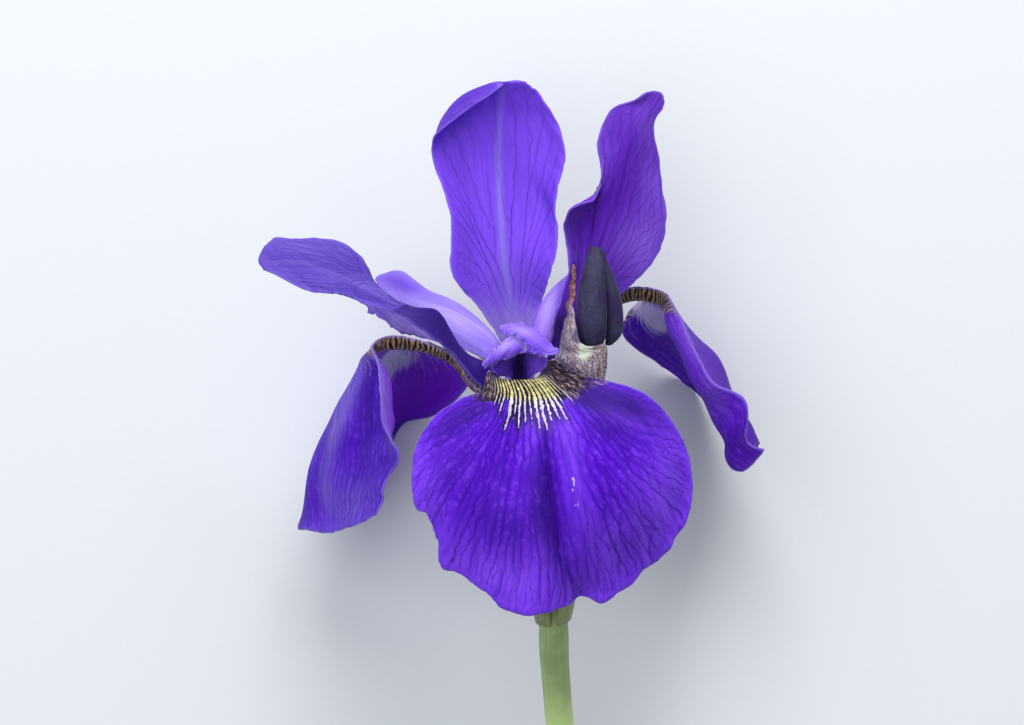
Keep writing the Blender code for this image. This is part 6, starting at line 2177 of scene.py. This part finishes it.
def spathe_extra(P, L, f, u, edge, S, C):
    return {"around": f, "along": u, "tint": smooth(0.35, 0.8, u)}


for nm, side, seed in (("spathe_left", -1, 111), ("spathe_right", 1, 113)):
    U, V = dense(0, 1, 90), dense(-1, 1, 70)
    tepal("valve_" + nm, nm, rows_spathe(side), U, V, 0.34, None, SPATHE,
          ruf=(0.05, 2.2, seed, 0.8), extra=spathe_extra)


# --- stalks, tube, ovary, stamens, bud
def fine_tube(name, node, path, radii, mat, seg=64, rings=140,
              lobes=0.0, bumps=0.02, seed=1, tint=None, groove=0.0,
              round_ends=(0.0, 0.0)):
    """smooth round piece along layout points with closed ends"""
    W = world(np.array(path, float))
    t0 = np.concatenate([[0], np.cumsum(
        np.linalg.norm(np.diff(W, axis=0), axis=1))])
    q = np.linspace(0, t0[-1], rings)
    C = spline(t0, W, q)
    R = spline(t0, np.array(radii, float)[:, None], q)[:, 0]
    T = np.gradient(C, axis=0)
    T /= np.linalg.norm(T, axis=1, keepdims=True)
    B = FRONT - T * (T @ FRONT)[:, None]
    B /= np.linalg.norm(B, axis=1, keepdims=True)
    A = np.cross(B, T)
    ang = 2 * math.pi * np.arange(seg) / seg
    nz = noise2(seed, (rings, seg + 1), (max(2, rings // 18), 7), 2)
    nz = nz[:, :seg] * (1 - np.arange(seg) / seg) \
        + nz[:, 1:] * (np.arange(seg) / seg)
    k = 1 + lobes * np.cos(3 * ang)[None, :] + bumps * nz \
        + groove * np.cos(18 * ang)[None, :]
    # ease the ends in so that cut faces have a soft edge
    for e, amt in ((0, round_ends[0]), (1, round_ends[1])):
        if amt:
            d = q if e == 0 else q[-1] - q
            s = np.clip(d / amt, 0, 1)
            k = k * (0.35 + 0.65 * np.sqrt(s * (2 - s)))[:, None]
    rr = R[:, None] * k
    P = C[:, None] + A[:, None] * (rr * np.sin(ang))[..., None] \
        + B[:, None] * (rr * np.cos(ang))[..., None]
    verts = P.reshape(-1, 3)
    n = rings
    faces = []
    for i in range(n - 1):
        for j in range(seg):
            j2 = (j + 1) % seg
            faces.append((i * seg + j, i * seg + j2,
                          (i + 1) * seg + j2, (i + 1) * seg + j))
    caps = []
    for i, s in ((0, -1), (n - 1, 1)):
        ring0 = [i * seg + j for j in range(seg)]
        last = ring0
        for lev in (0.82, 0.5, 0.2):
            base = len(verts)
            nv_ = C[i] + (P[i] - C[i]) * lev \
                + T[i] * s * 0.10 * R[i] * (1 - lev)
            verts = np.concatenate([verts, nv_])
            new = [base + j for j in range(seg)]
            for j in range(seg):
                j2 = (j + 1) % seg
                q4 = (last[j], last[j2], new[j2], new[j])
                faces.append(q4 if s > 0 else tuple(reversed(q4)))
            last = new
        base = len(verts)
        verts = np.concatenate([verts, (C[i] + T[i] * s * 0.10 * R[i])[None]])
        for j in range(seg):
            j2 = (j + 1) % seg
            tri = (last[j], last[j2], base)
            faces.append(tri if s > 0 else tuple(reversed(tri)))
    Vp = posed(verts)
    vol = 0.0
    for fc in faces[:]:
        a = Vp[fc[0]]
        for x in range(1, len(fc) - 1):
            vol += np.dot(a, np.cross(Vp[fc[x]], Vp[fc[x + 1]]))
    if vol < 0:
        faces = [tuple(reversed(x)) for x in faces]
    me = bpy.data.meshes.new(name)
    me.from_pydata([tuple(v) for v in Vp], [], faces)
    me.update()
    me.polygons.foreach_set("use_smooth", np.ones(len(me.polygons), bool))
    nvt = len(Vp)
    aro = np.zeros(nvt)
    alo = np.zeros(nvt)
    aro[:rings * seg] = np.tile(np.abs(2 * np.arange(seg) / seg - 1), rings)
    alo[:rings * seg] = np.repeat(q / q[-1], seg)
    alo[rings * seg + 3 * seg + 1:] = 1.0
    for nm_, arr in (("around", aro), ("along", alo),
                     ("tint", (tint(alo) if tint else alo * 0))):
        at = me.attributes.new(nm_, 'FLOAT', 'POINT')
        at.data.foreach_set("value", np.asarray(arr, np.float32))
    ob = bpy.data.objects.new(name, me)
    bpy.context.scene.collection.objects.link(ob)
    me.materials.append(mat)
    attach(ob, "root")
    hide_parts(node)
    return ob


STEM_PATH = [(553, 607, -11.0), (553.3, 617, -11.7), (553.6, 628, -12.3),
             (554, 650, -13.5), (556, 680, -15.1), (558, 705, -16.4),
             (560, 725, -17.5), (563.5, 790, -21.2), (566, 870, -25.8),
             (567.5, 950, -30.4), (568, 1000, -33.4)]
STEM_R = [1.5, 2.2, 2.5, 2.5, 2.42, 2.40, 2.40, 2.45, 2.5, 2.55, 2.6]
fine_tube("stalk_stem", "stem", STEM_PATH, STEM_R, GREEN, 96,
          260, bumps=0.02, seed=121, groove=0.006,
          tint=lambda a: smooth(0.16, 0.34, a))
fine_tube("stalk_pedicel", "pedicel",
          [Q(0, 0, -19.45), (544.5, 553, -7.9), (546.6, 575, -9.2),
           (548.0, 601, -10.8)], [1.45, 1.3, 1.25, 1.3], GREEN,
          48, 60, seed=123, groove=0.01)
fine_tube("stalk_bud", "bud_pedicel",
          [(591, 358, 4.6), (591, 366, 4.4), (590, 380, 4.0),
           (586, 400, 3.2), (579, 430, 1.2), (573, 470, -1.6),
           (568.5, 520, -4.8), (566.5, 560, -7.0), (565.5, 590, -8.6)],
          [1.2, 1.6, 1.9, 1.9, 1.6, 1.2, 1.0, .95, .95], GREEN,
          48, 120, lobes=0.03, seed=125, groove=0.01)
fine_tube("ovary_body", "ovary",
          [Q(0, 0, h) for h in (-6.35, -8.0, -11.0, -14.5, -17.5, -19.0)],
          [2.1, 2.7, 3.0, 2.9, 2.2, 1.7], OVARY, 72, 90,
          lobes=0.09, seed=127, groove=0.008,
          tint=lambda a: smooth(0.3, 0.0, a))
TUBE = green_material("tube_skin", srgb('#6a5a78'), srgb('#4a3a5c'),
                      srgb('#8c7c90'), tint=(srgb('#5f7a45'), 0.5))
fine_tube("tube_body", "perianth_tube",
          [Q(0, 0, h) for h in (0.0, -2.0, -4.5, -6.0)],
          [2.75, 2.3, 2.15, 2.3], TUBE, 72, 50, lobes=0.05,
          seed=129, groove=0.01, tint=lambda a: smooth(0.4, 1.0, a))
STYLE_COL = green_material("column_skin", srgb('#8a66dc'), srgb('#6f49c6'),
                           srgb('#b39af0'))
fine_tube("style_column_body", "style_column",
          [Q(0, 0, .35), Q(0, 0, 2.5), Q(0, 0, 5.0), Q(0, 0, 7.0)],
          [.9, .95, 1.05, 1.15], STYLE_COL, 48, 50,
          lobes=0.08, seed=131, groove=0.01)


def stamen_path(phi):
    if phi == 0:
        return [Q(2.0, phi, 0.5), Q(2.4, phi, 3.0), Q(3.1, phi, 5.6),
                Q(4.0, phi, 7.4), Q(4.5, phi, 8.1), Q(5.0, phi, 8.7),
                Q(5.7, phi, 9.2), Q(6.4, phi, 9.75), Q(6.9, phi, 10.1)]
    if phi < 0:
        return [Q(1.85, phi, 0.5), Q(2.1, phi, 3.0), Q(2.8, phi, 5.8),
                Q(4.7, phi - 2, 8.2), (489, 364, -1.6), (486, 360, -2.2),
                (479, 351, -3.8), (471, 341, -5.4), (466, 335, -6.4)]
    return [Q(2.0, phi, 0.5), Q(2.4, phi, 3.0), Q(3.2, phi, 5.6),
            Q(5.0, phi + 4, 8.2), (541, 351, -1.8), (543, 346, -2.6),
            (547, 336, -4.2), (553, 325, -6.0), (557, 318, -7.0)]


POLLEN = pollen_material()
for nm, phi in (("stamen_front", 0), ("stamen_left", -120),
                ("stamen_right", 120)):
    fine_tube(nm + "_body", nm, stamen_path(phi),
              [.40, .36, .34, .32, .32, .45, .58, .50, .25] if phi == 0
              else [.40, .36, .34, .32, .32, .55, .70, .60, .25], POLLEN,
              32, 70, lobes=0.06, seed=133,
              bumps=0.06)


def fine_bud(name, node, rows, mat, seam_side, twist, seed, power=0.72,
             points=()):
    """furled blade: a flattened section with a lapped margin and soft ribs"""
    rows = np.array(rows, float)
    y = rows[:, 2]
    q = np.linspace(y[0], y[-1], 150)
    R = spline(y, rows, q)
    seg = 132
    ang = 2 * math.pi * np.arange(seg) / seg
    co, si = np.cos(ang), np.sin(ang)
    ce = np.sign(co) * np.abs(co) ** power
    se = np.sign(si) * np.abs(si) ** power
    n = len(q)
    P = np.zeros((n, seg, 3))
    seam = np.zeros((n, seg))
    shade = np.zeros((n, seg))
    nz = noise2(seed, (n, seg), (7, 8), 2)
    for i in range(n):
        xl, xr, yy, d, hz = R[i]
        c = world(((xl + xr) / 2, yy, d))
        ra = (xr - xl) / 2 * UNIT * (EYE - d) / EYE
        t = i / (n - 1.0)
        a0 = math.radians(seam_side + twist * t)
        da = (ang - a0 + math.pi) % (2 * math.pi) - math.pi
        lap = np.exp(-(da / 0.09) ** 2)
        step = np.where(da > 0, np.exp(-da / 0.6), 0.0)
        k = 1 - 0.07 * lap + 0.03 * step + 0.006 * np.sin(21 * ang) \
            + 0.012 * nz[i]
        k = np.minimum(k, 1.02)
        seam[i] = np.exp(-(da / 0.10) ** 2)
        shade[i] = np.where(da < 0, np.exp(da / 0.5), 0.0) \
            + 0.5 * smooth(0.55, 1.0, np.abs(ce))
        top_notch = 0.0
        for px in points:
            top_notch = top_notch + np.exp(
                -((c[0] + ra * k * ce - (px - CX) * UNIT) / 0.22) ** 2)
        rise = top_notch * 0.42 * smooth(0.045, 0.0, t)
        P[i, :, 0] = c[0] + ra * k * ce
        P[i, :, 1] = c[1] + rise
        P[i, :, 2] = c[2] + hz * k * se
    V = P.reshape(-1, 3)
    faces = []
    for i in range(n - 1):
        for j in range(seg):
            j2 = (j + 1) % seg
            faces.append((i * seg + j, i * seg + j2, (i + 1) * seg + j2,
                          (i + 1) * seg + j))
    top = P[0].mean(0) - np.array([0, 0.25 if points else -0.12, 0])
    bot = P[-1].mean(0) - np.array([0, 0.12, 0])
    V = np.concatenate([V, top[None], bot[None]])
    for j in range(seg):
        j2 = (j + 1) % seg
        faces.append((j2, j, n * seg))
        faces.append(((n - 1) * seg + j, (n - 1) * seg + j2, n * seg + 1))
    Vp = posed(V)
    vol = 0.0
    for fc in faces:
        a = Vp[fc[0]]
        for x in range(1, len(fc) - 1):
            vol += np.dot(a, np.cross(Vp[fc[x]], Vp[fc[x + 1]]))
    if vol < 0:
        faces = [tuple(reversed(x)) for x in faces]
    me = bpy.data.meshes.new(name)
    me.from_pydata([tuple(v) for v in Vp], [], faces)
    me.update()
    me.polygons.foreach_set("use_smooth", np.ones(len(me.polygons), bool))
    for key, g in (("seam", seam), ("shade", np.clip(shade, 0, 1))):
        at = me.attributes.new(key, 'FLOAT', 'POINT')
        at.data.foreach_set("value", np.concatenate(
            [g.ravel(), [0, 0]]).astype(np.float32))
    ob = bpy.data.objects.new(name, me)
    bpy.context.scene.collection.objects.link(ob)
    me.materials.append(mat)
    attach(ob, "root")
    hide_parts(node)
    return ob


BUD = bud_material()
BUD_MAIN = [(589.5, 600, 247, 4.4, 0.5), (586.5, 602.5, 256, 4.6, 1.2),
            (583, 604, 268, 4.9, 1.9), (578.7, 605, 285, 5.2, 2.4),
            (576.8, 606.3, 302, 5.4, 2.6), (576.8, 606.8, 317, 5.5, 2.6),
            (578, 606.5, 330, 5.4, 2.3), (580, 604, 342, 5.2, 1.8),
            (584, 600, 352, 4.9, 1.4)]
BUD_SIDE = [(600.5, 603.8, 251, 1.9, 0.3), (600, 608.5, 264, 1.8, 1.0),
            (601, 615, 279, 1.8, 1.5), (602.5, 620.5, 295, 1.8, 1.9),
            (604, 623, 311, 1.8, 2.0), (605, 623.3, 326, 1.8, 1.9),
            (605.5, 620, 337, 1.8, 1.5), (605, 612, 345, 1.8, 0.8)]
fine_bud("bud_blade_main", "bud_tepal_main", BUD_MAIN, BUD, 28, 6, 3,
         points=(589.8, 600.6))
fine_bud("bud_blade_side", "bud_tepal_side", BUD_SIDE, BUD, 150, 0, 5)

# ------------------------------------------------------------------- stage
scene = bpy.context.scene
me = bpy.data.meshes.new("stage_floor")
S_ = 3.0
me.from_pydata([(-S_, -S_, 0), (S_, -S_, 0), (S_, S_, 0), (-S_, S_, 0)], [],
               [(0, 1, 2, 3)])
floor = bpy.data.objects.new("stage_floor", me)
scene.collection.objects.link(floor)
fm = Nodes("stage_pale")
fn_ = fm.noise(fm.obj(), 900.0, 2.0, 0.5)
fm.done(fm.mix(fm.range(fn_, 0.3, 0.7), (0.700, 0.725, 0.760),
               (0.708, 0.733, 0.768)), 0.85, spec=0.1)
me.materials.append(fm.mat)

R_POSE = np.stack([posed(np.array(v, float)) - posed(np.zeros(3))
                   for v in ((1, 0, 0), (0, 1, 0), (0, 0, 1))], 1) * 1000.0


def to_row(v):
    return Vector([float(c) for c in posed(np.array(v, float))])


cam_d = bpy.data.cameras.new("camera")
cam = bpy.data.objects.new("camera", cam_d)
scene.collection.objects.link(cam)
mat_ = Matrix([[float(R_POSE[i, j]) for j in range(3)] for i in range(3)])
cam.matrix_world = Matrix.Translation(to_row((0, 0, EYE))) @ mat_.to_4x4()
cam_d.sensor_width = 36.0
cam_d.lens = 36.0 * EYE / (1024.0 * UNIT)
cam_d.clip_start = 0.01
cam_d.clip_end = 20.0
scene.camera = cam


def area(name, loc, target, size, power, col=(1, 1, 1)):
    d = bpy.data.lights.new(name, 'AREA')
    d.energy = power
    d.size = size
    d.color = col
    o = bpy.data.objects.new(name, d)
    scene.collection.objects.link(o)
    a, b = to_row(loc), to_row(target)
    o.location = a
    o.rotation_euler = (b - a).to_track_quat('-Z', 'Y').to_euler()
    return o


area("soft_key", (60, 620, 420), (0, 0, 0), 0.55, 6.0, (1.0, 0.99, 0.97))
area("soft_front", (-260, 60, 700), (0, 0, 0), 0.60, 2.8,
     (0.97, 0.98, 1.0))
world_ = bpy.data.worlds.new("soft_sky")
scene.world = world_
world_.use_nodes = True
bg = world_.node_tree.nodes["Background"]
bg.inputs[0].default_value = (0.90, 0.95, 1.0, 1.0)
bg.inputs[1].default_value = 0.34
scene.view_settings.view_transform = 'Standard'
